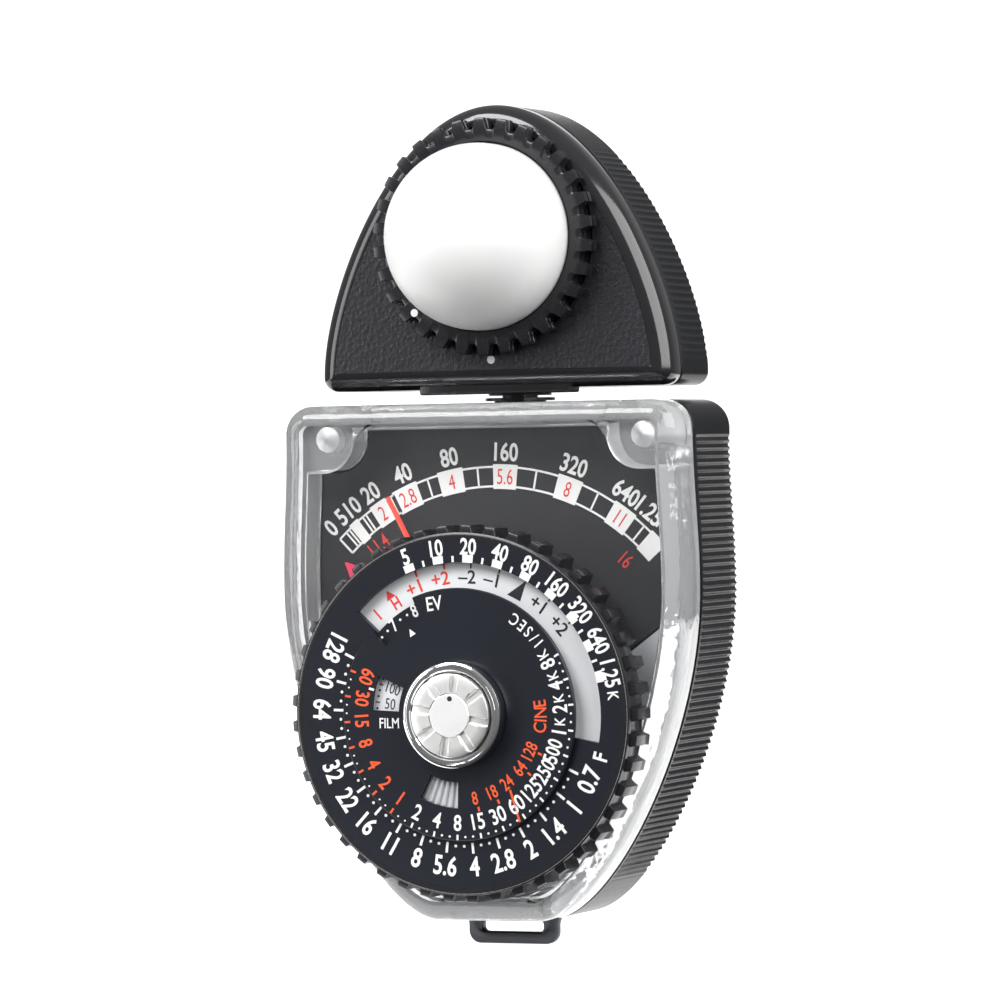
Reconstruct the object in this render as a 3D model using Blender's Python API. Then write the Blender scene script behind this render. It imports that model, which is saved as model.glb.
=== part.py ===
"""Handheld analogue light meter, built as separate pieces with real joints.

Sizes are in millimetres in a design frame: X to the right, Y towards the back with its
zero on the head's swivel axis, Z up from the lower edge of the strap lug. At the end each
point is moved so that the world origin is the centre of the whole meter, in metres.
"""
import math

import bmesh
import bpy
from mathutils import Matrix, Vector

MM = 0.001

# ---------------------------------------------------------------- driving sizes
CASE_WIDTH = 58.0          # over the widest point of the case
CASE_HEIGHT = 68.6         # bottom to top of the case
CASE_SHOULDER = 28.3       # half width just under the top corners
CASE_FLAT = 7.0            # half width of the flat bottom
CASE_CORNER = 3.8          # radius of the top corners
LUG_DROP = 3.7             # how far the strap lug hangs below the case
HEAD_GAP = 1.9             # air between case and head
HEAD_WIDTH = 50.8
HEAD_CROWN = 2.8           # from the opening for the receptor up to the top of the head
HEAD_CHIN = 5.2            # from that opening down to the bottom of the head
HEAD_CORNER = 1.9
HEAD_FRONT = -9.6          # front plane of the swivel head
BACK = 5.8                 # common back plane of case and head
HEAD_SEAM = -4.9           # joint plane of the two head shells
COVER_FRONT = -15.8        # front plane of the clear cover
CASE_SEAM = -7.3           # joint plane of clear cover and rear case
CASE_WALL = 1.8
HEAD_WALL = 1.6
COVER_FACE = 1.6           # thickness of the cover's front
COVER_SIDE = 3.0           # thickness of the cover's sides
PLATE_FRONT = -9.2         # face of the printed scale plate
PLATE_THICK = 0.6
DIAL_DROP = 40.8           # dial axis below the top of the case
DIAL_RADIUS = 24.8         # over the finger grips of the outer dial
DIAL_FACE = -21.7          # face of the outer dial
SHUTTER_RADIUS = 16.6      # inner disc with the time scale
WINDOW_OUTER = 19.9        # outer edge of the arc window in the outer dial
POST_RADIUS = 3.2          # post that carries the dials
DOME_RADIUS = 12.4         # white diffuser dome
RING_WALL = 3.4            # from the dome to the finger grips of the knurled ring round it
SOCKET_WALL = 2.5          # from the dome to the opening in the head, for sleeve and socket
NECK_RADIUS = 4.25
SHAFT_RADIUS = 2.4         # hollow shaft in the neck
BUTTON_RADIUS = 5.5
BUTTON_FACE = -25.4
BUTTON_TRAVEL = 0.8
KNOB_RADIUS = 9.0          # memo pointer knob on the back
KNOB_PROUD = 2.4
KNOB_SEAT = 0.4            # shallow round recess that the knob turns in
NEEDLE_ANGLE = 117.5       # needle at rest, degrees anticlockwise from +X seen from the front
MEMO_ANGLE = 137.5         # memo pointer at rest
GROOVE_ANGLE = 35.0        # first groove in the button's face

GAP = 0.3                  # air between neighbouring pieces
SNUG = 0.15                # air round a screw's thread

# ---------------------------------------------------------------- places worked out from them
RING_RADIUS = DOME_RADIUS + RING_WALL
OPENING_RADIUS = DOME_RADIUS + SOCKET_WALL
CASE_BOTTOM = LUG_DROP
CASE_TOP = CASE_BOTTOM + CASE_HEIGHT
HEAD_BOTTOM = CASE_TOP + HEAD_GAP
HEAD_TOP = HEAD_BOTTOM + HEAD_CHIN + 2 * OPENING_RADIUS + HEAD_CROWN
DIAL_Z = CASE_TOP - DIAL_DROP
RING_Z = HEAD_TOP - HEAD_CROWN - OPENING_RADIUS
CASE_FLOOR = BACK - CASE_WALL          # inner face of the case's back
HEAD_FLOOR = BACK - HEAD_WALL
COVER_INNER = COVER_FRONT + COVER_FACE
PLATE_BACK = PLATE_FRONT + PLATE_THICK
RING_FACE = HEAD_FRONT - 2.7
DOME_CENTRE = RING_FACE - 1.0
DOME_APEX = DOME_CENTRE - DOME_RADIUS
KNOB_FACE = BACK + KNOB_PROUD
KNOB_FLOOR = BACK - KNOB_SEAT
BUTTON_UNDER = BUTTON_FACE + 1.0
BUTTON_FLOOR = BUTTON_UNDER + BUTTON_TRAVEL + 0.1
MIDDLE_Y = (min(DOME_APEX, BUTTON_FACE) + KNOB_FACE) / 2
MIDDLE_Z = HEAD_TOP / 2
BOSS_X = CASE_SHOULDER - 5.5           # upper case screws
BOSS_Z = CASE_TOP - 4.5
BOSS_NOTCH = 4.2                       # clear block round an upper screw
FOOT_X = CASE_FLAT + 1.5                 # lower case screws
FOOT_Z = CASE_BOTTOM + 8.6
BOSS_RADIUS = 2.2

AXIS_HEAD = (0.0, 0.0, HEAD_BOTTOM)
AXIS_RING = (0.0, RING_FACE, RING_Z)
AXIS_DIAL = (0.0, DIAL_FACE, DIAL_Z)
AXIS_CASE = (0.0, 0.0, DIAL_Z)


# ---------------------------------------------------------------- outlines
def bezier(start, first, second, end, count):
    """Points of a cubic curve, without its last point."""
    points = []
    for i in range(count):
        t = i / count
        u = 1 - t
        points.append(tuple(u ** 3 * a + 3 * u * u * t * b + 3 * u * t * t * c + t ** 3 * d
                            for a, b, c, d in zip(start, first, second, end)))
    return points


def arc(cx, cz, radius, start, end, count):
    """Points on an arc in degrees, both ends included."""
    angles = [math.radians(start + (end - start) * i / count) for i in range(count + 1)]
    return [(cx + radius * math.cos(a), cz + radius * math.sin(a)) for a in angles]


def circle(cx, cz, radius, count=32):
    return arc(cx, cz, radius, 0, 360, count)[:-1]


def rectangle(x0, x1, z0, z1):
    return [(x0, z0), (x1, z0), (x1, z1), (x0, z1)]


def mirrored(right_half):
    """Closes a right half, listed from bottom to top, with its mirror image."""
    left = [(-x, z) for x, z in reversed(right_half) if abs(x) > 1e-6]
    return right_half + left


def case_right():
    half, widest = CASE_WIDTH / 2, CASE_BOTTOM + 44.3
    shoulder = CASE_TOP - CASE_CORNER
    rise = widest - CASE_BOTTOM
    side = bezier((CASE_FLAT, CASE_BOTTOM), (CASE_FLAT + 8.5, CASE_BOTTOM),
                  (half, widest - rise * 0.467), (half, widest), 11)
    side += bezier((half, widest), (half, widest + 8), (CASE_SHOULDER, shoulder - 8),
                   (CASE_SHOULDER, shoulder), 3)
    return side + arc(CASE_SHOULDER - CASE_CORNER, shoulder, CASE_CORNER, 0, 90, 4)


def case_outline():
    return mirrored(case_right())


def head_outline():
    half, low = HEAD_WIDTH / 2, HEAD_BOTTOM + HEAD_CORNER
    side = arc(half - HEAD_CORNER, low, HEAD_CORNER, -90, 0, 3)[:-1]
    side += bezier((half, low), (half, low + 11.7), (half * 0.563, HEAD_TOP), (0, HEAD_TOP), 13)
    return mirrored(side + [(0.0, HEAD_TOP)])


def inset(loop, distance):
    """Moves an anticlockwise outline inwards by a distance."""
    moved = []
    for i, here in enumerate(loop):
        before, here, after = Vector(loop[i - 1]), Vector(here), Vector(loop[(i + 1) % len(loop)])
        first, second = (here - before).normalized(), (after - here).normalized()
        normal = Vector((-first.y - second.y, first.x + second.x)).normalized()
        miter = max(0.5, normal.dot(Vector((-first.y, first.x))))
        moved.append(tuple(here + normal * distance / miter))
    return moved


def window_outline(distance, notch):
    """The cover's hollow: the case outline set in, with a notch round each upper screw."""
    right = [p for p in inset(case_outline(), distance) if p[0] > 0 and p[1] < BOSS_Z - notch]
    right.sort(key=lambda p: p[1])
    right.append((right[-1][0], BOSS_Z - notch))
    right += arc(BOSS_X, BOSS_Z, notch, -90, -180, 6)
    right.append((BOSS_X - notch, CASE_TOP - distance))
    return mirrored(right)


def knurled(radius, depth, teeth, centre_z):
    """A ring outline with straight-sided grips, half of it raised."""
    points = []
    step = 360 / teeth
    for tooth in range(teeth):
        start = tooth * step
        points += arc(0, centre_z, radius, start, start + step * 0.5, 1)
        points += arc(0, centre_z, radius - depth, start + step * 0.56, start + step * 0.94, 1)
    return points


def sector(inner, outer, start, end, count=12):
    """A piece of a ring between two angles, round the dial axis."""
    return arc(0, DIAL_Z, outer, start, end, count) + arc(0, DIAL_Z, inner, end, start, count)


# ---------------------------------------------------------------- solids
def prism(loop, low, high, axis="Y"):
    """Extrudes an outline along an axis. Its points are (x, z), (y, z) on X or (x, y) on Z."""
    place = {"Y": lambda p, a: (p[0], a, p[1]),
             "X": lambda p, a: (a, p[0], p[1]),
             "Z": lambda p, a: (p[0], p[1], a)}[axis]
    bm = bmesh.new()
    face = bm.faces.new([bm.verts.new(place(p, low)) for p in loop])
    grown = bmesh.ops.extrude_face_region(bm, geom=[face])
    moved = [v for v in grown["geom"] if isinstance(v, bmesh.types.BMVert)]
    step = Vector(place((0, 0), high)) - Vector(place((0, 0), low))
    bmesh.ops.translate(bm, verts=moved, vec=step)
    bmesh.ops.recalc_face_normals(bm, faces=bm.faces)
    return bm


def block(x0, x1, y0, y1, z0, z1):
    return prism(rectangle(x0, x1, z0, z1), y0, y1)


def turned(profile, centre, axis="Y", count=48):
    """Spins a closed profile of (radius, place along the axis) round an axis."""
    bm = bmesh.new()
    if axis == "Y":
        points = [Vector((centre[0] + r, a, centre[1])) for r, a in profile]
        pivot, direction = Vector((centre[0], 0, centre[1])), Vector((0, 1, 0))
    else:
        points = [Vector((centre[0] + r, centre[1], a)) for r, a in profile]
        pivot, direction = Vector((centre[0], centre[1], 0)), Vector((0, 0, 1))
    verts = [bm.verts.new(p) for p in points]
    edges = [bm.edges.new((verts[i - 1], verts[i])) for i in range(len(verts))]
    edges = [e for e in edges if any(abs((v.co - pivot).cross(direction).length) > 1e-6
                                     for v in e.verts)]
    bmesh.ops.spin(bm, geom=verts + edges, cent=pivot, axis=direction,
                   angle=2 * math.pi, steps=count, use_merge=True)
    loose = [e for e in bm.edges if not e.link_faces]
    bmesh.ops.delete(bm, geom=loose, context="EDGES")
    bmesh.ops.remove_doubles(bm, verts=bm.verts, dist=1e-3)
    bmesh.ops.dissolve_degenerate(bm, edges=bm.edges, dist=1e-4)
    bmesh.ops.recalc_face_normals(bm, faces=bm.faces)
    return bm


def drum(radius, low, high, centre=(0.0, DIAL_Z), axis="Y", count=28):
    return prism(circle(*centre, radius, count), low, high, axis)


def tube(inner, outer, low, high, centre=(0.0, DIAL_Z), axis="Y", count=28):
    profile = [(inner, low), (outer, low), (outer, high), (inner, high)]
    return turned(profile, centre, axis, count)


def frame_prism(outer, inner, low, high):
    """A rectangular frame, extruded along X from (y, z) corners."""
    bm = bmesh.new()
    rings = [[bm.verts.new((x, y, z)) for y, z in loop] for x in (low, high)
             for loop in (outer, inner)]
    pairs = ((rings[0], rings[1]), (rings[2], rings[3]), (rings[0], rings[2]), (rings[1], rings[3]))
    for first, second in pairs:
        for i in range(len(outer)):
            bm.faces.new((first[i - 1], first[i], second[i], second[i - 1]))
    bmesh.ops.recalc_face_normals(bm, faces=bm.faces)
    return bm


def rounded(bm, y_plane, width, segments=2):
    """Rounds the rim that lies in the plane y = y_plane."""
    rim = [e for e in bm.edges if all(abs(v.co.y - y_plane) < 1e-4 for v in e.verts)]
    bmesh.ops.bevel(bm, geom=rim, offset=width, segments=segments, profile=0.5, affect="EDGES")
    return bm


def turned_about(bm, degrees, centre_z=DIAL_Z):
    """Turns a solid anticlockwise, seen from the front, about an axis along Y."""
    spin = Matrix.Rotation(-math.radians(degrees), 4, "Y")
    shift = Matrix.Translation((0, 0, centre_z))
    bmesh.ops.transform(bm, matrix=shift @ spin @ shift.inverted(), verts=bm.verts)
    return bm


# ---------------------------------------------------------------- finishes and objects
FINISHES = {
    "wrinkle_black": ((0.016, 0.017, 0.019), 0.38, 0.0),
    "case_black": ((0.014, 0.014, 0.015), 0.30, 0.0),
    "clear_acrylic": ((0.86, 0.88, 0.90), 0.05, 0.0),
    "scale_black": ((0.060, 0.060, 0.068), 0.55, 0.0),
    "mask_silver": ((0.62, 0.63, 0.64), 0.40, 0.3),
    "dial_black": ((0.022, 0.024, 0.032), 0.42, 0.0),
    "grip_black": ((0.020, 0.020, 0.022), 0.45, 0.0),
    "index_white": ((0.80, 0.80, 0.79), 0.45, 0.0),
    "dome_white": ((0.86, 0.87, 0.88), 0.40, 0.0),
    "chrome": ((0.80, 0.80, 0.80), 0.12, 1.0),
    "satin_silver": ((0.78, 0.78, 0.77), 0.38, 1.0),
    "gunmetal": ((0.30, 0.30, 0.30), 0.35, 1.0),
    "steel": ((0.55, 0.55, 0.56), 0.30, 1.0),
    "brass": ((0.70, 0.52, 0.22), 0.35, 1.0),
    "copper": ((0.72, 0.36, 0.20), 0.35, 1.0),
    "magnet_grey": ((0.12, 0.12, 0.13), 0.45, 0.6),
    "needle_red": ((0.78, 0.06, 0.04), 0.40, 0.0),
    "memo_red": ((0.85, 0.05, 0.14), 0.35, 0.0),
    "cell_dark": ((0.05, 0.06, 0.10), 0.25, 0.2),
    "board_green": ((0.04, 0.20, 0.10), 0.50, 0.0),
    "insulator": ((0.25, 0.17, 0.10), 0.60, 0.0),
    "felt": ((0.10, 0.10, 0.10), 0.95, 0.0),
}


def finish(name):
    """The material of that name, made once."""
    if name in bpy.data.materials:
        return bpy.data.materials[name]
    colour, roughness, metallic = FINISHES[name]
    material = bpy.data.materials.new(name)
    material.use_nodes = True
    shader = material.node_tree.nodes["Principled BSDF"]
    shader.inputs["Base Color"].default_value = (*colour, 1)
    shader.inputs["Roughness"].default_value = roughness
    shader.inputs["Metallic"].default_value = metallic
    material.diffuse_color = (*colour, 1)
    return material


def world(point):
    return Vector((point[0], point[1] - MIDDLE_Y, point[2] - MIDDLE_Z)) * MM


def place(name, bm, pivot):
    """Makes an object whose origin is its pivot, from a solid in design millimetres."""
    origin = world(pivot)
    for vert in bm.verts:
        vert.co = world(vert.co) - origin
    mesh = bpy.data.meshes.new(name)
    bm.to_mesh(mesh)
    bm.free()
    item = bpy.data.objects.new(name, mesh)
    item.location = origin
    bpy.context.scene.collection.objects.link(item)
    return item


def piece(name, bm, material, pivot=AXIS_CASE):
    item = place(name, bm, pivot)
    item.data.materials.append(finish(material))
    item.data.shade_smooth()
    item.data.set_sharp_from_angle(angle=math.radians(35))
    return item


def combine(item, bm, operation):
    """Cuts or joins another solid with a Boolean modifier."""
    number = len(item.modifiers) + 1
    helper = place(f"{item.name}_{operation.lower()}_{number}", bm, (0, 0, 0))
    helper.hide_render = True
    helper.display_type = "WIRE"
    modifier = item.modifiers.new(f"{operation.lower()}_{number}", "BOOLEAN")
    modifier.operation = operation
    modifier.solver = "EXACT"
    modifier.object = helper
    return item


def cut(item, bm):
    return combine(item, bm, "DIFFERENCE")


def fuse(item, bm):
    return combine(item, bm, "UNION")


def screw(name, x, z, head, shank, head_y, head_high, tip_y, pivot=AXIS_CASE):
    """A slotted screw along Y. Its head lies between head_y and head_y + head_high."""
    toward = 1 if head_y > tip_y else -1
    under = min(head_y, head_y + head_high) if toward > 0 else max(head_y, head_y + head_high)
    top = head_y + head_high if toward > 0 else head_y
    profile = [(0, tip_y), (shank, tip_y), (shank, under), (head, under), (head, top), (0, top)]
    item = piece(name, turned(profile, (x, z), count=12), "steel", pivot)
    low, high = (top - head_high / 2, top + 1) if toward > 0 else (top - 1, top + head_high / 2)
    return cut(item, block(x - head - 1, x + head + 1, low, high, z - 0.25, z + 0.25))


# ---------------------------------------------------------------- swivel head
def build_head():
    outline = head_outline()
    boss_x, boss_z = HEAD_WIDTH / 2 - 5.6, HEAD_BOTTOM + 6.2
    boss_end = HEAD_FLOOR - GAP

    shell = rounded(prism(outline, HEAD_FRONT, HEAD_SEAM - GAP / 2), HEAD_FRONT, 1.3)
    front = piece("head_front_shell", shell, "wrinkle_black", AXIS_HEAD)
    inner_face = HEAD_FRONT + 1.4
    cut(front, prism(inset(outline, HEAD_WALL), inner_face, HEAD_SEAM + 1))
    cut(front, drum(OPENING_RADIUS, HEAD_FRONT - 1, inner_face + 1, (0, RING_Z), count=40))
    fuse(front, block(-11, 11, HEAD_FRONT + 1.0, HEAD_SEAM - 2 * GAP,
                      HEAD_BOTTOM - 0.7, HEAD_BOTTOM + HEAD_WALL / 2))
    for side in (-1, 1):
        fuse(front, drum(BOSS_RADIUS, inner_face - 0.7, boss_end, (side * boss_x, boss_z), count=12))
        cut(front, drum(0.8 + SNUG, HEAD_SEAM, boss_end + 1, (side * boss_x, boss_z), count=8))

    shell = rounded(prism(outline, HEAD_SEAM + GAP / 2, BACK), BACK, 1.3)
    rear = piece("head_rear_shell", shell, "case_black", AXIS_HEAD)
    cut(rear, prism(inset(outline, HEAD_WALL), HEAD_SEAM - 1, HEAD_FLOOR))
    cut(rear, drum(SHAFT_RADIUS + GAP, HEAD_BOTTOM - 1, HEAD_BOTTOM + HEAD_WALL + 1, (0, 0), "Z"))
    for side, label in ((-1, "left"), (1, "right")):
        spot = (side * boss_x, boss_z)
        cut(rear, drum(1.1, HEAD_FLOOR - 1, BACK + 1, spot, count=10))
        cut(rear, drum(2.1, BACK - 1.0, BACK + 1, spot, count=14))
        screw(f"head_screw_{label}", *spot, 1.8, 0.8, BACK - 0.9, 0.7, HEAD_SEAM + GAP, AXIS_HEAD)

    # the socket sits in the front shell and holds the light cell behind the dome
    outer = OPENING_RADIUS - GAP
    bore = outer - 0.7
    back = HEAD_FRONT + 6.8
    wall_in = HEAD_FRONT + 1.4 + GAP
    profile = [(bore, HEAD_FRONT + 0.2), (outer, HEAD_FRONT + 0.2), (outer, wall_in),
               (outer + 0.5, wall_in), (outer + 0.5, wall_in + 0.7), (outer, wall_in + 0.7),
               (outer, back), (bore - 2.9, back), (bore - 2.9, back - 0.8), (bore, back - 0.8)]
    centre = (0, RING_Z)
    piece("receptor_socket", turned(profile, centre, count=28), "grip_black", AXIS_HEAD)

    cup = outer - 0.2
    rim, floor, end = back + GAP, back + 2.6, back + 3.4
    profile = [(cup - 0.7, rim), (cup, rim), (cup, end), (0, end), (0, floor), (cup - 0.7, floor)]
    piece("photocell_carrier", turned(profile, centre, count=24), "insulator", AXIS_HEAD)
    cell = cup - 0.7 - GAP
    piece("photocell", drum(cell, rim, rim + 1.2, centre), "cell_dark", AXIS_HEAD)
    low = rim + 1.2 + GAP / 2
    profile = [(cell - 4.6, low), (cell - 2.0, low + 0.3), (cell - 2.0, low + 0.45),
               (cell - 4.6, low + 0.15)]
    piece("cell_contact_spring", turned(profile, centre, count=24), "brass", AXIS_HEAD)

    # the receptor: a sliding sleeve, the knurled ring, the dome and the ring that holds it
    sleeve_out = bore - GAP
    sleeve_in = sleeve_out - 0.6
    sleeve = tube(sleeve_in, sleeve_out, HEAD_FRONT + 0.2, back - 0.8 - GAP, centre)
    piece("receptor_sleeve", sleeve, "steel", AXIS_RING)
    ring = prism(knurled(RING_RADIUS, 1.3, 30, RING_Z), RING_FACE, HEAD_FRONT - GAP)
    item = piece("receptor_ring", ring, "grip_black", AXIS_RING)
    seat = DOME_RADIUS + GAP
    spigot = sleeve_in - GAP
    fuse(item, drum(spigot, HEAD_FRONT - 2 * GAP, back - 0.8 - 2 * GAP, centre, count=32))
    cut(item, drum(seat, RING_FACE - 1, RING_FACE + 1.0, centre, count=40))
    cut(item, drum(spigot - 0.6, RING_FACE - 1, back, centre, count=32))

    skirt = spigot - 0.6 - GAP
    skirt_in = skirt - 1.0
    skirt_back = HEAD_FRONT + 3.6
    step_y = RING_FACE + 0.7
    steps = 7
    bend = [math.pi / 2 * i / steps for i in range(steps + 1)]
    dome = [(DOME_RADIUS * math.sin(a), DOME_CENTRE - DOME_RADIUS * math.cos(a)) for a in bend]
    dome += [(DOME_RADIUS, step_y), (skirt, step_y), (skirt, skirt_back), (skirt_in, skirt_back)]
    dome += [(skirt_in * math.sin(a), DOME_CENTRE - skirt_in * math.cos(a)) for a in reversed(bend)]
    piece("diffuser_dome", turned(dome, centre, count=32), "dome_white", AXIS_RING)
    clip = tube(skirt_in, skirt, skirt_back + GAP, skirt_back + 1.3, centre)
    piece("dome_retainer", clip, "steel", AXIS_RING)


def build_neck():
    bore = SHAFT_RADIUS - 1.1
    collar_low, collar_high = CASE_TOP + 1.0, HEAD_BOTTOM - GAP
    shaft_low, shaft_high = CASE_TOP - 7.8, HEAD_BOTTOM + 4.4
    profile = [(bore, shaft_low), (SHAFT_RADIUS, shaft_low), (SHAFT_RADIUS, collar_low),
               (NECK_RADIUS, collar_low), (NECK_RADIUS, collar_high),
               (SHAFT_RADIUS, collar_high), (SHAFT_RADIUS, shaft_high), (bore, shaft_high)]
    piece("neck_shaft", turned(profile, (0, 0), "Z", 18), "grip_black", AXIS_HEAD)

    nut_low = HEAD_BOTTOM + HEAD_WALL + GAP
    flats = arc(0, 0, 3.7 / math.cos(math.pi / 6), 0, 300, 5)
    nut = piece("neck_nut", prism(flats, nut_low, nut_low + 1.9, "Z"), "brass", AXIS_HEAD)
    cut(nut, drum(SHAFT_RADIUS + SNUG, nut_low - 1, nut_low + 3, (0, 0), "Z"))

    sleeve, lip = SHAFT_RADIUS + GAP, NECK_RADIUS + 0.45
    outside = sleeve + 0.8
    low = CASE_TOP - 5.5
    profile = [(sleeve, low), (outside, low), (outside, CASE_TOP + GAP), (lip, CASE_TOP + GAP),
               (lip, collar_low - GAP), (sleeve, collar_low - GAP)]
    piece("neck_bush", turned(profile, (0, 0), "Z", 18), "grip_black")
    washer = tube(sleeve, outside, low - GAP - 0.5, low - GAP, (0, 0), "Z", 16)
    piece("friction_washer", washer, "steel")
    clip = tube(SHAFT_RADIUS + 0.1, outside, low - 2 * GAP - 1.1, low - 2 * GAP - 0.5, (0, 0), "Z", 16)
    piece("neck_clip", clip, "steel", AXIS_HEAD)


# ---------------------------------------------------------------- case, cover and plates
CASE_SCREWS = {"upper_left": (-BOSS_X, BOSS_Z), "upper_right": (BOSS_X, BOSS_Z),
               "lower_left": (-FOOT_X, FOOT_Z), "lower_right": (FOOT_X, FOOT_Z)}
PLATE_SCREWS = {"left": (-13.6, DIAL_Z - 8.2), "right": (13.6, DIAL_Z - 8.2)}
YOKE_BACK = -0.5
YOKE_FRONT = -5.5
BOARD_Z = DIAL_Z + 26.0
LUG_FRONT = -5.8
LUG_THICK = 1.6
LUG_HALF = 6.8
LUG_SCREW_Z = CASE_BOTTOM + 3.9


def build_case():
    outline = case_outline()
    shell = rounded(prism(outline, CASE_SEAM + GAP / 2, BACK), BACK, 1.4)
    case = piece("rear_case", shell, "case_black")
    cut(case, prism(inset(outline, CASE_WALL), CASE_SEAM - 1, CASE_FLOOR))
    cut(case, drum(SHAFT_RADIUS + 0.8 + 2 * GAP, CASE_TOP - CASE_WALL - 1, CASE_TOP + 1, (0, 0), "Z"))
    sunk = CASE_FLOOR + 0.5                   # posts start inside the back wall
    for x, z in PLATE_SCREWS.values():
        fuse(case, drum(1.9, PLATE_BACK + GAP, sunk, (x, z), count=10))
        cut(case, drum(0.7 + SNUG, PLATE_BACK - 1, PLATE_BACK + 4, (x, z), count=8))
    for angle in (205, 270, 335):
        spot = arc(0, DIAL_Z, 11, angle, angle, 1)[0]
        fuse(case, drum(1.6, YOKE_BACK + GAP, sunk, spot, count=10))
    for x in (-12, 12):
        fuse(case, drum(1.5, 2.3, sunk, (x, BOARD_Z), count=10))
    pad_front = LUG_FRONT + LUG_THICK + GAP
    fuse(case, block(-LUG_HALF, LUG_HALF, pad_front, sunk, CASE_BOTTOM + 1.0, CASE_BOTTOM + 6.2))
    slot = LUG_HALF + GAP
    cut(case, block(-slot, slot, LUG_FRONT - GAP, pad_front, CASE_BOTTOM - 1, CASE_BOTTOM + 3))
    for x in (-4, 4):
        cut(case, drum(0.7 + SNUG, pad_front - 1, pad_front + 4, (x, LUG_SCREW_Z), count=8))
    cut(case, drum(4.7, CASE_FLOOR - 1, BACK + 1))
    cut(case, drum(KNOB_RADIUS + 2 * GAP, KNOB_FLOOR, BACK + 1, count=36))
    for x, z in CASE_SCREWS.values():
        cut(case, drum(1.3, CASE_FLOOR - 1, BACK + 1, (x, z), count=10))
        cut(case, drum(2.3, BACK - 1.0, BACK + 1, (x, z), count=14))

    shell = rounded(prism(outline, COVER_FRONT, CASE_SEAM - GAP / 2), COVER_FRONT, 2.4)
    cover = piece("clear_cover", shell, "clear_acrylic")
    cut(cover, prism(window_outline(COVER_SIDE, BOSS_NOTCH), COVER_INNER, CASE_SEAM + 1))
    cut(cover, drum(POST_RADIUS + GAP, COVER_FRONT - 1, COVER_INNER + 1))
    for label, (x, z) in CASE_SCREWS.items():
        start = COVER_INNER - 0.5 if z < DIAL_Z else CASE_SEAM - 1
        fuse(cover, drum(BOSS_RADIUS, start, CASE_FLOOR - GAP, (x, z), count=14))
        cut(cover, blind_hole(x, z))
        screw(f"case_screw_{label}", x, z, 2.0, 1.1, BACK - 0.9, 0.7, CASE_SEAM - 1)


def blind_hole(x, z):
    """A screw hole drilled from behind, with the drill's cone at its end."""
    tip = COVER_INNER + 1.6
    profile = [(0, tip), (1.4, tip + 1.0), (1.4, CASE_FLOOR + 1), (0, CASE_FLOOR + 1)]
    return turned(profile, (x, z), count=10)


def build_plates():
    """The black scale plate, and the light plate that fills the case below it."""
    edge = window_outline(COVER_SIDE + GAP, BOSS_NOTCH + GAP)
    inner_x, inner_z, low_z, slope = 15.8, DIAL_Z + 5.7, DIAL_Z - 11.0, 0.71
    scale = piece("scale_plate", prism(edge, PLATE_FRONT, PLATE_BACK), "scale_black")
    wide = CASE_WIDTH
    side_z = inner_z + slope * (wide - inner_x)
    below = [(-wide, side_z), (-inner_x, inner_z), (-inner_x, low_z), (inner_x, low_z),
             (inner_x, inner_z), (wide, side_z), (wide, 0), (-wide, 0)]
    cut(scale, prism(list(reversed(below)), PLATE_FRONT - 1, PLATE_BACK + 1))
    cut(scale, drum(1.2, PLATE_FRONT - 1, PLATE_BACK + 1, count=20))
    cut(scale, prism(sector(15.9, 18.1, MEMO_ANGLE - 101.4, MEMO_ANGLE + 4, 14),
                     PLATE_FRONT - 1, PLATE_BACK + 1))
    mask = piece("lower_mask_plate", prism(edge, PLATE_FRONT, PLATE_BACK), "mask_silver")
    far_x, far_z = inner_x + GAP, inner_z - GAP
    above = [(-wide, side_z - GAP), (-far_x, far_z), (-far_x, low_z - GAP),
             (far_x, low_z - GAP), (far_x, far_z),
             (wide, side_z - GAP), (wide, HEAD_TOP), (-wide, HEAD_TOP)]
    cut(mask, prism(above, PLATE_FRONT - 1, PLATE_BACK + 1))
    for side in (-1, 1):
        spot = (side * FOOT_X, FOOT_Z)
        cut(mask, drum(BOSS_RADIUS + GAP, PLATE_FRONT - 1, PLATE_BACK + 1, spot, count=12))
    for label, (x, z) in PLATE_SCREWS.items():
        cut(scale, drum(0.9, PLATE_FRONT - 1, PLATE_BACK + 1, (x, z), count=12))
        screw(f"plate_screw_{label}", x, z, 1.5, 0.7, PLATE_FRONT - GAP - 0.6, 0.6, PLATE_BACK + 3.4)


def build_lug():
    """The metal strap lug: a plate with rounded corners, a slot and two screws inside."""
    back = LUG_FRONT + LUG_THICK
    corner = 1.8
    right = [(0.0, 0.0)] + arc(LUG_HALF - corner, corner, corner, -90, 0, 5)
    right += [(LUG_HALF, CASE_BOTTOM + 6), (0.0, CASE_BOTTOM + 6)]
    lug = piece("strap_lug", prism(mirrored(right), LUG_FRONT, back), "gunmetal")
    half, low, high, end = 4.35, 1.6, 3.1, 0.6
    slot = arc(half - end, low + end, end, -90, 0, 3) + arc(half - end, high - end, end, 0, 90, 3)
    slot += [(-x, z) for x, z in reversed(slot)]
    cut(lug, prism(slot, LUG_FRONT - 1, back + 1))
    for label, x in (("left", -4), ("right", 4)):
        cut(lug, drum(0.9, LUG_FRONT - 1, back + 1, (x, LUG_SCREW_Z), count=10))
        screw(f"lug_screw_{label}", x, LUG_SCREW_Z, 1.5, 0.7, LUG_FRONT - GAP - 0.6, 0.6, back + 3.4)


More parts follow.
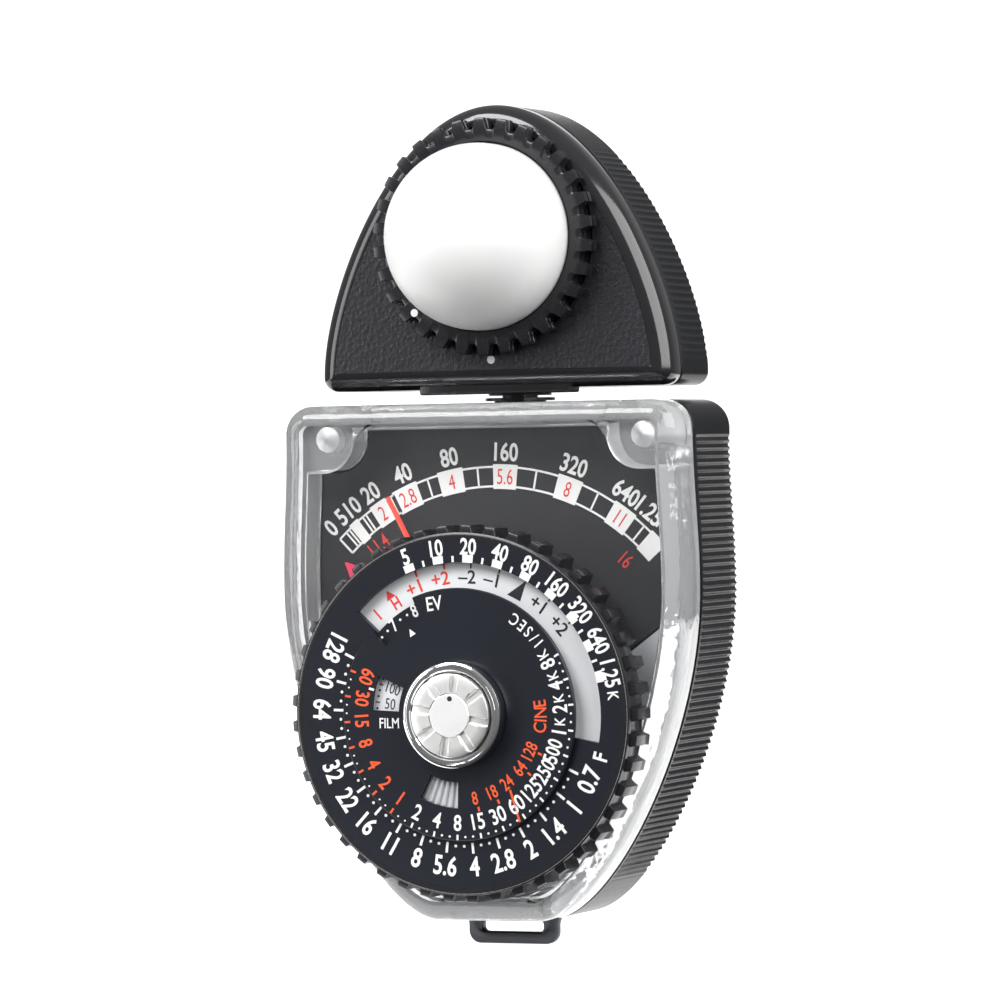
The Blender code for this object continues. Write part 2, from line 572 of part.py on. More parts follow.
# ---------------------------------------------------------------- meter movement
def build_movement():
    piece("magnet_yoke", tube(8.3, 13.5, YOKE_FRONT, YOKE_BACK), "magnet_grey")
    core_r, tab_r, tab_half = 5.6, 8.0, 10
    core = []
    for angle in (128, 308):
        core += arc(0, DIAL_Z, tab_r, angle - tab_half, angle + tab_half, 4)
        core += arc(0, DIAL_Z, core_r, angle + tab_half + 2, angle + 178 - tab_half, 14)
    piece("meter_core", prism(core, YOKE_FRONT + 0.1, YOKE_BACK - 0.1), "steel")
    for name, bar, foot in (("front_bridge", (-8.2, -7.5), YOKE_FRONT - GAP),
                            ("rear_bridge", (2.2, 1.6), YOKE_BACK + GAP)):
        inner, outer = 9.5, 12.0
        profile = [(-outer, bar[0]), (outer, bar[0]), (outer, foot), (inner, foot),
                   (inner, bar[1]), (-inner, bar[1]), (-inner, foot), (-outer, foot)]
        bridge = piece(name, prism(profile, DIAL_Z - 2.5, DIAL_Z + 2.5, "Z"), "brass")
        cut(bridge, drum(0.8, min(bar) - 1, max(bar) + 1, count=16))

    coil_y = (YOKE_FRONT - 1.6, YOKE_BACK + 1.5)
    outer = [(coil_y[0], -7.7), (coil_y[1], -7.7), (coil_y[1], 7.7), (coil_y[0], 7.7)]
    thick = 0.7
    inner = [(coil_y[0] + thick, -6.2), (coil_y[1] - thick, -6.2),
             (coil_y[1] - thick, 6.2), (coil_y[0] + thick, 6.2)]
    loop = frame_prism([(y, z + DIAL_Z) for y, z in outer], [(y, z + DIAL_Z) for y, z in inner],
                       -1.1, 1.1)
    piece("moving_coil", turned_about(loop, NEEDLE_ANGLE - 135), "copper", AXIS_DIAL)

    needle_y = (-11.2, -10.9)
    staff = [(0, needle_y[1] + GAP), (0.5, needle_y[1] + GAP), (0.5, coil_y[0] - GAP),
             (0, coil_y[0] - GAP)]
    piece("needle_staff", turned(staff, (0, DIAL_Z), count=12), "steel", AXIS_DIAL)
    piece("rear_pivot", drum(0.5, coil_y[1] + GAP, 2.3, count=12), "steel", AXIS_DIAL)

    hub, tip, tail = 7.0, 32.1, 10.0
    blade = arc(0, DIAL_Z, hub, 4, 176, 20)
    blade += [(-tail, DIAL_Z + 0.9), (-tail, DIAL_Z - 0.9)]
    blade += arc(0, DIAL_Z, hub, 184, 356, 20)
    blade += [(tip - 1, DIAL_Z - 0.42), (tip, DIAL_Z - 0.3), (tip, DIAL_Z + 0.3),
              (tip - 1, DIAL_Z + 0.42)]
    needle = turned_about(prism(blade, *needle_y), NEEDLE_ANGLE)
    piece("needle", needle, "needle_red", AXIS_DIAL)

    # hairspring: a flat spiral of two turns round the rear pivot
    turns, start_r, pitch, width = 2, 1.1, 1.25, 0.22
    steps = 16 * turns
    spiral = [(start_r + pitch * turns * i / steps, 2 * math.pi * turns * i / steps)
              for i in range(steps + 1)]
    ribbon = [((r + width) * math.cos(a), (r + width) * math.sin(a) + DIAL_Z) for r, a in spiral]
    ribbon += [(r * math.cos(a), r * math.sin(a) + DIAL_Z) for r, a in reversed(spiral)]
    piece("hairspring", prism(ribbon, coil_y[1] + 0.2, coil_y[1] + 0.42), "brass", AXIS_DIAL)

    # zero adjuster: a screw reached from the back, and the lever that carries the spring stud
    lever = piece("zero_lever", drum(1.8, 2.5, 2.8, count=20), "steel", AXIS_DIAL)
    fuse(lever, block(-0.6, 0.6, 2.5, 2.8, DIAL_Z + 1, DIAL_Z + 5.2))
    fuse(lever, drum(0.35, coil_y[1] + 0.2, 2.7, (0, DIAL_Z + 4.6), count=10))
    screw("zero_adjust_screw", 0, DIAL_Z, 1.9, 1.0, BACK + 0.9, 0.8, 2.8 + GAP, AXIS_DIAL)

    board = block(-15, 15, 1.0, 2.0, BOARD_Z - 5, BOARD_Z + 4)
    piece("circuit_board", board, "board_green")
    trimmer = piece("calibration_trimmer", block(-3, 3, -2.2, 0.7, BOARD_Z - 3.4, BOARD_Z + 2.6),
                    "insulator")
    cut(trimmer, block(-1.6, 1.6, -3, -1.8, BOARD_Z - 0.65, BOARD_Z - 0.15))


def build_memo():
    """Memo pointer: knob on the back, a yoke round the movement and the red pointer in front."""
    hub, post_r, post = 4.3, 0.8, 17.0
    yoke = piece("memo_yoke", turned([(1.5, 3.1), (hub, 3.1), (hub, KNOB_FLOOR), (1.5, KNOB_FLOOR)],
                                     (0, DIAL_Z), count=20), "steel", AXIS_DIAL)
    arm = block(3, post + 0.9, 3.1, 3.7, DIAL_Z - 1.0, DIAL_Z + 1.0)
    fuse(yoke, turned_about(arm, MEMO_ANGLE))
    front = -9.8
    fuse(yoke, turned_about(drum(post_r, front, 3.5, (post, DIAL_Z), count=12), MEMO_ANGLE))
    tip, barb = 29.3, 1.7
    blade = [(post - 1.2, DIAL_Z - 1.1), (tip - 3.6, DIAL_Z - 1.1), (tip - 3.2, DIAL_Z - barb),
             (tip, DIAL_Z), (tip - 3.2, DIAL_Z + barb), (tip - 3.6, DIAL_Z + 1.1),
             (post - 1.2, DIAL_Z + 1.1)]
    pointer = turned_about(prism(blade, front - GAP - 0.4, front - GAP), MEMO_ANGLE)
    piece("memo_pointer", pointer, "memo_red", AXIS_DIAL)
    outline = knurled(KNOB_RADIUS, 0.4, 24, DIAL_Z)
    knob = piece("memo_knob", prism(outline, KNOB_FLOOR + GAP, KNOB_FACE), "grip_black", AXIS_DIAL)
    cut(knob, drum(2.3, BACK - 1, KNOB_FACE + 1, count=24))


# ---------------------------------------------------------------- dials and button
WINDOW_START, WINDOW_END = -10.7, 137.3
DIAL_BACK = COVER_FRONT - 0.5
DISC_THICK = 0.9
INDEX_HUB = 13.2           # raised middle of the film speed disc, which centres the outer dial
SHUTTER_BACK = DIAL_FACE - GAP
SHUTTER_FACE = SHUTTER_BACK - 0.5
SHOULDER_FRONT = DIAL_FACE + 2.4
BRAKE_DROP = 4.0           # brake lever pivot below the dial axis
BRAKE_Y = -12.65


def build_dials():
    teeth = knurled(DIAL_RADIUS, 1.2, 45, DIAL_Z)
    under = DIAL_FACE + DISC_THICK
    inner = INDEX_HUB + GAP
    rim = DIAL_RADIUS - 2.5
    outer = piece("outer_dial", prism(teeth, DIAL_FACE + 0.6, DIAL_BACK), "dial_black", AXIS_DIAL)
    fuse(outer, drum(DIAL_RADIUS - 1.6, DIAL_FACE, under, count=60))
    cut(outer, drum(rim, under, DIAL_BACK + 1, count=40))
    middle = (WINDOW_START + WINDOW_END) / 2
    for start, end in ((WINDOW_START, middle), (middle - 0.5, WINDOW_END)):
        cut(outer, prism(sector(SHUTTER_RADIUS - 0.8, WINDOW_OUTER, start, end, 8),
                         DIAL_FACE - 1, under + 1))
    cut(outer, drum(inner, DIAL_FACE - 1, under + 1, count=36))

    bore = POST_RADIUS + GAP
    flange_front = under + GAP
    profile = [(bore, DIAL_FACE + 0.1), (INDEX_HUB, DIAL_FACE + 0.1), (INDEX_HUB, flange_front),
               (rim - GAP, flange_front), (rim - GAP, flange_front + 0.6), (bore, flange_front + 0.6)]
    piece("iso_disc", turned(profile, (0, DIAL_Z), count=36), "index_white", AXIS_DIAL)
    spring_front = flange_front + 0.8
    spring = tube(bore, 8.4, spring_front, SHOULDER_FRONT - 0.2)
    piece("dial_spring_washer", spring, "steel")

    disc = tube(bore, SHUTTER_RADIUS, SHUTTER_FACE, SHUTTER_BACK, count=48)
    shutter = piece("shutter_disc", disc, "dial_black")
    for inside, outside, start, end in ((13.7, SHUTTER_RADIUS + 1, 112.3, 138.5),
                                        (8.1, 12.1, 153, 178), (9.1, 12.2, 243, 268)):
        cut(shutter, prism(sector(inside, outside, start, end, 4), SHUTTER_FACE - 1, SHUTTER_BACK + 1))

    # the post is clamped in the cover; its bore guides the button's stem
    end = COVER_INNER + 1.0
    spigot = BUTTON_FLOOR
    well, guide = 2.4, 1.5
    profile = [(guide, spigot + 3), (well, spigot + 3), (well, spigot), (POST_RADIUS, spigot),
               (POST_RADIUS, SHOULDER_FRONT), (9.0, SHOULDER_FRONT), (9.0, COVER_FRONT - GAP),
               (POST_RADIUS, COVER_FRONT - GAP), (POST_RADIUS, end), (guide, end)]
    piece("dial_post", turned(profile, (0, DIAL_Z), count=24), "brass")
    nut_back = COVER_INNER + GAP + 0.5
    nut = piece("post_nut", tube(POST_RADIUS + SNUG, 5.2, COVER_INNER + GAP, nut_back, count=20),
                "steel")
    pin_z = DIAL_Z - BRAKE_DROP
    for side in (-1, 1):
        near, far = sorted((side * 1.3, side * 2.0))
        fuse(nut, block(near, far, nut_back - 0.2, -12.0, pin_z - 0.9, pin_z + 0.6))
    cut(nut, cross_pin(0.45, 3.0))
    piece("brake_pin", cross_pin(0.35, 2.0), "steel")


def cross_pin(radius, half_length):
    """A short rod along X through the brake lever's pivot."""
    loop = [(BRAKE_Y + y, DIAL_Z - BRAKE_DROP + z) for y, z in circle(0, 0, radius, 10)]
    return prism(loop, -half_length, half_length, "X")


def build_brake():
    pivot = (0.0, BRAKE_Y, DIAL_Z - BRAKE_DROP)
    front, back = BRAKE_Y - 0.25, BRAKE_Y + 0.25
    top, bottom = DIAL_Z + 1.3, DIAL_Z - 6.6
    lever = piece("brake_lever", prism(rectangle(front, back, bottom, top), -0.9, 0.9, "X"),
                  "steel", pivot)
    boss = [(BRAKE_Y + y, pivot[2] + z) for y, z in circle(0, 0, 0.75, 10)]
    fuse(lever, prism(boss, -0.85, 0.85, "X"))
    cut(lever, cross_pin(0.45, 3.0))
    pad = block(-0.8, 0.8, back + 0.2, -11.5, bottom, bottom + 1.4)
    piece("brake_pad", pad, "felt", pivot)


def build_button():
    """The chrome guard ring, the push button, its stem and its spring."""
    guard, opening = 7.0, BUTTON_RADIUS + GAP
    lip, base = BUTTON_FACE + 0.5, SHUTTER_FACE - GAP
    bore = POST_RADIUS + GAP
    profile = [(opening, lip), (guard - 0.3, lip), (guard, lip + 0.3), (guard, base),
               (bore, base), (bore, BUTTON_FLOOR), (opening, BUTTON_FLOOR)]
    piece("button_guard_ring", turned(profile, (0, DIAL_Z), count=40), "chrome")

    flat = 2.85
    cap = piece("button_cap", drum(BUTTON_RADIUS, BUTTON_FACE, BUTTON_UNDER, count=40),
                "satin_silver", AXIS_DIAL)
    for groove in range(8):
        bar = block(flat, BUTTON_RADIUS + 1, BUTTON_FACE - 1, BUTTON_FACE + 0.35,
                    DIAL_Z - 0.4, DIAL_Z + 0.4)
        cut(cap, turned_about(bar, GROOVE_ANGLE + 45 * groove))
    stem_end = BRAKE_Y - 0.25 - GAP
    piece("button_stem", drum(1.2, BUTTON_UNDER + GAP, stem_end, count=14), "steel", AXIS_DIAL)

    coil_r, wire, turns, sides, steps = 1.85, 0.2, 3, 4, 9
    low, high = BUTTON_FLOOR + 2.6, BUTTON_UNDER + 0.45
    bm = bmesh.new()
    rings = []
    for i in range(turns * steps + 1):
        angle = 2 * math.pi * i / steps
        centre = Vector((coil_r * math.cos(angle), high + (low - high) * i / (turns * steps),
                         DIAL_Z + coil_r * math.sin(angle)))
        outward = Vector((math.cos(angle), 0, math.sin(angle)))
        ring = [centre + outward * wire * math.cos(2 * math.pi * k / sides)
                + Vector((0, wire * math.sin(2 * math.pi * k / sides), 0)) for k in range(sides)]
        rings.append([bm.verts.new(p) for p in ring])
    for first, second in zip(rings, rings[1:]):
        for k in range(sides):
            bm.faces.new((first[k - 1], first[k], second[k], second[k - 1]))
    bm.faces.new(rings[0])
    bm.faces.new(rings[-1])
    bmesh.ops.recalc_face_normals(bm, faces=bm.faces)
    piece("button_spring", bm, "steel", AXIS_DIAL)


def main():
    for item in list(bpy.data.objects):
        bpy.data.objects.remove(item)
    build_head()
    build_neck()
    build_case()
    build_plates()
    build_lug()
    build_movement()
    build_memo()
    build_dials()
    build_brake()
    build_button()


main()
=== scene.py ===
# %% [markdown]
# # A handheld analogue light meter
# The meter is a flat case with a clear front, a set of calculator dials on it, and a swivel
# head that carries a white diffuser dome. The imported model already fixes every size, axis
# and joint. This script only dresses it: smooth surfaces, print, and finishes.
#
# Everything below is worked out in millimetres in the model's own frame (X right, Y to the
# back, Z up), and turned into metres when a mesh is made.

# %% Load the fixed frame
import math

import bmesh
import bpy
import numpy as np
from mathutils import Matrix, Vector


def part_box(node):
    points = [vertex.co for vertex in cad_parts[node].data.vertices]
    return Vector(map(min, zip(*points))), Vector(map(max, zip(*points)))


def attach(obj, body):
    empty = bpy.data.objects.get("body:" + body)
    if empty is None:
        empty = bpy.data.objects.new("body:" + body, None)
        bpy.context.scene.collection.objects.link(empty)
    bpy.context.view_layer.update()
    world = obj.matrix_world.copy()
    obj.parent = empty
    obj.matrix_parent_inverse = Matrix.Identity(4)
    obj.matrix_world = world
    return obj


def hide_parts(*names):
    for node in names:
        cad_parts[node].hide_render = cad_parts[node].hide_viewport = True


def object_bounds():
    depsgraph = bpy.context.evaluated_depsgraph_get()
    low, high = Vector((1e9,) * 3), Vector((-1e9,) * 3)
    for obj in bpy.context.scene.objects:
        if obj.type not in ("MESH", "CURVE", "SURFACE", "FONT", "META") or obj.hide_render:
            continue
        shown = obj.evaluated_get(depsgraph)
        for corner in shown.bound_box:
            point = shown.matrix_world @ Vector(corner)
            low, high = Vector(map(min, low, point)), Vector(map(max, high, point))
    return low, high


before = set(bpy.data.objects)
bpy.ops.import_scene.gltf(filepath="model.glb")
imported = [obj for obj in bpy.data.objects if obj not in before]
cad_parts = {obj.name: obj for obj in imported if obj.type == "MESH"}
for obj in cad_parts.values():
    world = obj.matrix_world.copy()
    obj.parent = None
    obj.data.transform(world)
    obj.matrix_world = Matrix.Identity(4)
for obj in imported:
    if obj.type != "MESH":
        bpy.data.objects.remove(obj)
cad_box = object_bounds()
MM = 0.001


# %% [markdown]
# ## Places
# A piece goes where its CAD node is, so each place is read from the node's box. Only the
# fine sizes that a box can't tell, such as a radius or a depth of print, are written here.

# %% Read the places
class Span:
    """A CAD node's box in millimetres."""

    def __init__(self, node):
        low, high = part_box(node)
        self.low, self.high = low / MM, high / MM
        self.front, self.back = self.low.y, self.high.y
        self.bottom, self.top = self.low.z, self.high.z
        self.mid = (self.low + self.high) / 2
        self.half = (self.high.x - self.low.x) / 2


case, cover, plate = Span("rear_case"), Span("clear_cover"), Span("scale_plate")
head_rear, head_front = Span("head_rear_shell"), Span("head_front_shell")
ring, dome = Span("receptor_ring"), Span("diffuser_dome")
dial, film, shutter = Span("outer_dial"), Span("iso_disc"), Span("shutter_disc")
bezel, cap = Span("button_guard_ring"), Span("button_cap")
lug, knob = Span("strap_lug"), Span("memo_knob")
DIAL_Z, RING_Z = dial.mid.z, ring.mid.z
print(f"dial axis at z {DIAL_Z:.1f} mm, dome axis at z {RING_Z:.1f} mm")


# %% [markdown]
# ## Camera
# A long lens from a little to the right keeps the case's edges nearly parallel and still
# shows the ribbed right side. The camera looks almost level and is rolled by one degree.

# %% Set the camera
SENSOR = 36.0
VIEW_AZIMUTH, VIEW_DOWN, VIEW_ROLL = (math.radians(a) for a in (23.5, 0.51, 1.03))
VIEW_DISTANCE = 739.0
target = Vector((-2.29, case.front + 6.15, 3.3))
back_way = Vector((math.sin(VIEW_AZIMUTH) * math.cos(VIEW_DOWN),
                   -math.cos(VIEW_AZIMUTH) * math.cos(VIEW_DOWN), math.sin(VIEW_DOWN)))
camera = bpy.data.objects.new("camera", bpy.data.cameras.new("camera"))
camera.data.sensor_width = SENSOR
camera.data.lens = 198.0
camera.data.clip_start, camera.data.clip_end = 0.05, 20.0
camera.rotation_mode = "QUATERNION"
camera.rotation_quaternion = (-back_way).to_track_quat("-Z", "Y") @ Matrix.Rotation(
    -VIEW_ROLL, 3, "Z").to_quaternion()
camera.location = (target + back_way * VIEW_DISTANCE) * MM
bpy.context.scene.collection.objects.link(camera)
bpy.context.scene.camera = camera
print("camera at", tuple(round(v, 3) for v in camera.location))


# %% [markdown]
# ## Shader arithmetic
# A finish is a small sum of textures. Wrapping a socket in a class with `+` and `*` lets
# that sum be written as one line, and each operator adds the Math node that it needs.

# %% A socket that can be calculated with
class Wire:
    def __init__(self, finish, socket):
        self.finish, self.socket = finish, socket

    def maths(self, operation, first, second):
        node = self.finish.tree.nodes.new("ShaderNodeMath")
        node.operation = operation
        self.finish.feed(node.inputs[0], first)
        self.finish.feed(node.inputs[1], second)
        return Wire(self.finish, node.outputs[0])

    def __add__(self, other):
        return self.maths("ADD", self, other)

    def __mul__(self, other):
        return self.maths("MULTIPLY", self, other)

    __radd__, __rmul__ = __add__, __mul__


# %% [markdown]
# A `Finish` is one material. `add` makes any node: its settings first, then its sockets.
# `coords` gives a place on the piece in millimetres, so that a grain of 0.5 mm is written
# as 0.5 mm. Numbers that are the same all over go straight onto the shader's own sockets.

# %% A finish and its nodes
class Finish:
    def __init__(self, name, colour, roughness, metallic=0.0, **constants):
        self.material = bpy.data.materials.new(name)
        self.material.use_nodes = True
        self.tree = self.material.node_tree
        self.shader = self.tree.nodes["Principled BSDF"]
        self.colour, self.roughness = colour, roughness
        self.set(Base_Color=(*colour, 1.0), Roughness=roughness, Metallic=metallic, **constants)
        self.material.diffuse_color = (*colour, 1.0)

    def feed(self, socket, value):
        if isinstance(value, Wire):
            self.tree.links.new(value.socket, socket)
        else:
            socket.default_value = value

    def set(self, **sockets):
        for name, value in sockets.items():
            self.feed(self.shader.inputs[name.replace("_", " ")], value)
        return self

    def add(self, kind, settings=None, output=0, **sockets):
        node = self.tree.nodes.new(kind)
        for name, value in (settings or {}).items():
            setattr(node, name, value)
        for name, value in sockets.items():
            self.feed(node.inputs[name.replace("_", " ")], value)
        return Wire(self, node.outputs[output])

    def coords(self, stretch=(1.0, 1.0, 1.0)):
        place = self.add("ShaderNodeTexCoord", output="Object")
        return self.add("ShaderNodeMapping", Vector=place, Scale=tuple(s / MM for s in stretch))

    def noise(self, size, detail=3.0, stretch=(1.0, 1.0, 1.0)):
        """Noise whose blobs are about `size` millimetres across."""
        return self.add("ShaderNodeTexNoise", Vector=self.coords(stretch), Scale=1.0 / size,
                        Detail=detail)

    def cells(self, size, feature):
        return self.add("ShaderNodeTexVoronoi", {"feature": feature},
                        Vector=self.coords(), Scale=1.0 / size)

    def tint(self, factor, darker, lighter):
        """Base colour that wanders between two shades of the finish's own colour."""
        low = tuple(c * darker for c in self.colour) + (1.0,)
        high = tuple(min(1.0, c * lighter) for c in self.colour) + (1.0,)
        mixed = self.add("ShaderNodeMix", {"data_type": "RGBA"}, output=2)
        node = mixed.socket.node
        self.feed(node.inputs[0], factor)
        node.inputs[6].default_value, node.inputs[7].default_value = low, high
        return self.set(Base_Color=mixed)

    def polish(self, factor, spread):
        """Roughness that wanders by `spread` around the finish's own."""
        return self.set(Roughness=factor * (2 * spread) + (self.roughness - spread))

    def relief(self, height, depth):
        """Bumps whose full height is `depth` millimetres."""
        return self.set(Normal=self.add("ShaderNodeBump", Height=height, Distance=depth * MM))


# %% [markdown]
# ## Finishes
# The painted front of the head has a fine wrinkled skin. A wrinkle finish is a paint that
# shrinks as it dries, so its relief is a net of soft ridges: cell noise gives the net, and
# finer noise breaks it up. Moulded parts have only a faint orange peel.

# %% Blacks
def wrinkled(name, colour, roughness):
    finish = Finish(name, colour, roughness, Specular_IOR_Level=0.5)
    net = finish.cells(0.55, "SMOOTH_F1")
    fine = finish.noise(0.28, 4.0)
    finish.tint(finish.noise(5.0), 0.75, 1.35)
    finish.polish(fine, 0.07)
    return finish.relief(net * 0.7 + fine * 0.6, 0.075)


def moulded(name, colour, roughness, peel=0.02, size=0.7, **constants):
    finish = Finish(name, colour, roughness, **constants)
    broad, fine = finish.noise(6.0), finish.noise(size, 4.0)
    finish.tint(broad, 0.8, 1.25)
    finish.polish(fine, min(0.06, roughness * 0.4))
    return finish.relief(fine, peel)


wrinkle_black = wrinkled("wrinkle_black", (0.013, 0.013, 0.017), 0.34)
rim_black = moulded("rim_black", (0.012, 0.012, 0.014), 0.13, 0.006, 1.2, Coat_Weight=0.3)
case_black = moulded("case_black", (0.008, 0.0085, 0.010), 0.24, 0.01, Specular_IOR_Level=0.1)
grip_black = moulded("grip_black", (0.013, 0.013, 0.016), 0.24, 0.012)
scale_black = moulded("scale_black", (0.019, 0.019, 0.023), 0.55, 0.01, 0.25, Specular_IOR_Level=0.3)
print("blacks:", wrinkle_black.material.name, case_black.material.name)


# %% [markdown]
# The dials are blue-black anodised aluminium. Anodising keeps the satin of the turned metal
# under it, so the finish has a fine even grain and soft highlights, not a plastic gloss.

# %% Dials, plates and print
def anodised(name, colour, roughness):
    finish = Finish(name, colour, roughness, Specular_IOR_Level=0.3)
    grain = finish.noise(0.12, 2.0)
    finish.tint(finish.noise(9.0, 2.0), 0.9, 1.12)
    finish.polish(grain, 0.06)
    return finish.relief(grain, 0.006)


def enamel(name, colour, roughness=0.4):
    """Screen-printed ink: even, with a little thinning from place to place."""
    finish = Finish(name, colour, roughness)
    finish.tint(finish.noise(0.8, 3.0), 0.93, 1.05)
    return finish.relief(finish.noise(0.15, 2.0), 0.003)


dial_black = anodised("dial_black", (0.0105, 0.012, 0.0185), 0.34)
mask_silver = anodised("mask_silver", (0.50, 0.51, 0.53), 0.42)
band_white = anodised("band_white", (0.70, 0.71, 0.73), 0.45)
ink_white = enamel("ink_white", (0.86, 0.86, 0.85))
ink_red = enamel("ink_red", (0.72, 0.045, 0.035))
ink_orange = enamel("ink_orange", (0.80, 0.10, 0.025))
ink_black = enamel("ink_black", (0.018, 0.019, 0.024))
needle_red = enamel("needle_red", (0.86, 0.07, 0.035), 0.35)
memo_red = enamel("memo_red", (0.85, 0.05, 0.12), 0.3)
print("print colours ready")


# %% [markdown]
# Metals: the bezel is polished, the button's raised fields are bead-blasted, and the strap
# lug is a stamped plate with tumbled edges. A metal's colour is its reflection, so the
# detail goes into roughness and relief.

# %% Metals
def metal(name, colour, roughness, grain=0.25, depth=0.004, stretch=(1.0, 1.0, 1.0)):
    finish = Finish(name, colour, roughness, 1.0)
    fine = finish.noise(grain, 3.0, stretch)
    finish.tint(finish.noise(3.0), 0.9, 1.06)
    finish.polish(fine, min(0.08, roughness * 0.5))
    return finish.relief(fine, depth)


chrome = metal("chrome", (0.86, 0.86, 0.87), 0.07, 0.8, 0.001)
blasted = metal("blasted", (0.86, 0.86, 0.85), 0.42, 0.09, 0.02)
satin = metal("satin", (0.92, 0.92, 0.92), 0.52, 0.2, 0.003)
gunmetal = metal("gunmetal", (0.055, 0.056, 0.062), 0.38, 0.10, 0.006)
steel = metal("steel", (0.58, 0.58, 0.60), 0.28, 0.2, 0.004, (1.0, 0.2, 1.0))
brass = metal("brass", (0.72, 0.50, 0.20), 0.30, 0.2, 0.004)
copper = metal("copper", (0.76, 0.34, 0.18), 0.35, 0.06, 0.02, (0.1, 1.0, 1.0))
magnet = metal("magnet", (0.16, 0.16, 0.17), 0.45, 0.3, 0.01)
print("metals ready")


# %% [markdown]
# The dome is an opal moulding: light goes a little way in and comes back, which softens its
# shading. The cover is clear acrylic. Its flat window is made almost fully see-through, so
# that the scale behind it stays lit, and its thick rim bends light as acrylic does.

# %% Dome and clear plastic
def opal():
    finish = Finish("dome_white", (0.775, 0.772, 0.768), 0.34, Subsurface_Weight=0.35,
                    Subsurface_Radius=(0.004, 0.004, 0.004), Subsurface_Scale=0.5)
    finish.tint(finish.noise(4.0), 0.985, 1.01)
    return finish.relief(finish.noise(0.3, 3.0), 0.004)


def acrylic_rim():
    finish = Finish("clear_acrylic", (0.93, 0.94, 0.95), 0.05, IOR=1.49, Transmission_Weight=0.82)
    wave = finish.noise(2.2, 3.0, (1.0, 1.0, 0.45))
    finish.polish(finish.noise(1.5), 0.03)
    return finish.relief(wave, 0.16)


def acrylic_pane():
    finish = Finish("clear_window", (0.35, 0.36, 0.37), 0.04, IOR=1.49)
    scuff = finish.noise(0.5, 5.0, (1.0, 1.0, 0.15))
    finish.polish(scuff, 0.02)
    return finish.set(Alpha=scuff * 0.02 + 0.02)


dome_white = opal()
clear_acrylic = acrylic_rim()
clear_window = acrylic_pane()
print("opal and acrylic ready")


# %% [markdown]
# Inside parts are seen only from odd angles, but each still gets its own finish: circuit
# board, fibre insulator, felt brake pad and the dark glass of the light cell.

# %% Inside finishes
board_green = moulded("board_green", (0.03, 0.17, 0.08), 0.4, 0.02, 0.3)
insulator = moulded("insulator", (0.22, 0.14, 0.08), 0.6, 0.03, 0.2)
cell_dark = moulded("cell_dark", (0.03, 0.035, 0.07), 0.15, 0.004, 0.5, Coat_Weight=0.5)
felt = moulded("felt", (0.09, 0.09, 0.09), 0.95, 0.15, 0.15)
CAD_FINISH = {finish.material.name.split(".")[0]: finish for finish in (
    wrinkle_black, case_black, clear_acrylic, scale_black, mask_silver, dial_black, grip_black,
    dome_white, chrome, gunmetal, steel, brass, copper, needle_red, memo_red, cell_dark,
    board_green, insulator, felt)}
CAD_FINISH |= {"index_white": band_white, "satin_silver": blasted, "magnet_grey": magnet}
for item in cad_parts.values():
    names = [m.name.split(".")[0] for m in item.data.materials if m]
    chosen = CAD_FINISH.get(names[0] if names else "", steel)
    item.data.materials.clear()
    item.data.materials.append(chosen.material)
    item.data.shade_smooth()
    item.data.set_sharp_from_angle(angle=math.radians(32))
print(len(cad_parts), "CAD nodes given a finish")


# %% [markdown]
# ## Making a piece
# `make` turns a bmesh in millimetres into an object that rides on a body and stands for the
# CAD nodes that it replaces. `loft` joins a list of rings with the same number of points:
# most of the meter's shells are an outline that moves in and back by small steps.

# %% Piece and loft helpers
def make(name, bm, finish, body, stands_for=(), sharp=30.0):
    bmesh.ops.recalc_face_normals(bm, faces=bm.faces)
    mesh = bpy.data.meshes.new(name)
    bmesh.ops.scale(bm, vec=(MM, MM, MM), verts=bm.verts)
    bm.to_mesh(mesh)
    bm.free()
    mesh.shade_smooth()
    mesh.set_sharp_from_angle(angle=math.radians(sharp))
    mesh.materials.append(finish.material)
    item = bpy.data.objects.new(name, mesh)
    bpy.context.scene.collection.objects.link(item)
    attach(item, body)
    if stands_for:
        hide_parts(*stands_for)
    return item


def loft(rings, closed=False, into=None):
    """Joins rings of 3-D points. A closed loft joins its last ring to its first; an open one
    is capped at both ends."""
    bm = into or bmesh.new()
    rows = [[bm.verts.new(p) for p in loop] for loop in rings]
    pairs = list(zip(rows, rows[1:])) + ([(rows[-1], rows[0])] if closed else [])
    for first, second in pairs:
        for i in range(len(first)):
            bm.faces.new((first[i - 1], first[i], second[i], second[i - 1]))
    if not closed:
        bm.faces.new(rows[0])
        bm.faces.new(rows[-1])
    return bm


def turned(profile, centre_z, count=96, closed=True, centre_x=0.0):
    """Spins (radius, y) points about an axis along Y. An open profile starts and ends on it."""
    bm = bmesh.new()
    rows = []
    for a in (2 * math.pi * i / count for i in range(count)):
        rows.append([bm.verts.new((centre_x + r * math.cos(a), y, centre_z + r * math.sin(a)))
                     for r, y in profile])
    last = len(profile) if closed else len(profile) - 1
    for first, second in zip(rows, rows[1:] + rows[:1]):
        for k in range(last):
            j = (k + 1) % len(profile)
            bm.faces.new((first[k], first[j], second[j], second[k]))
    bmesh.ops.remove_doubles(bm, verts=bm.verts, dist=1e-5)
    return bm


def quarter(r0, y0, r1, y1, steps=6, bulge=True):
    """Points of a quarter ellipse from (r0, y0) to (r1, y1), rounding an edge."""
    points = []
    for i in range(steps + 1):
        a = math.pi / 2 * i / steps
        s, c = (math.sin(a), 1 - math.cos(a)) if bulge else (1 - math.cos(a), math.sin(a))
        points.append((r0 + (r1 - r0) * s, y0 + (y1 - y0) * c))
    return points


# %% [markdown]
# ## Outlines
# The case and the head are drawn as a few arcs and Bezier curves for the right half, and
# mirrored. `inset` moves an outline inwards: each point goes along its normal, points that
# end up too near the old line are dropped, and the rest is spaced out evenly again.

# %% Draw and offset the outlines
POINTS = 600


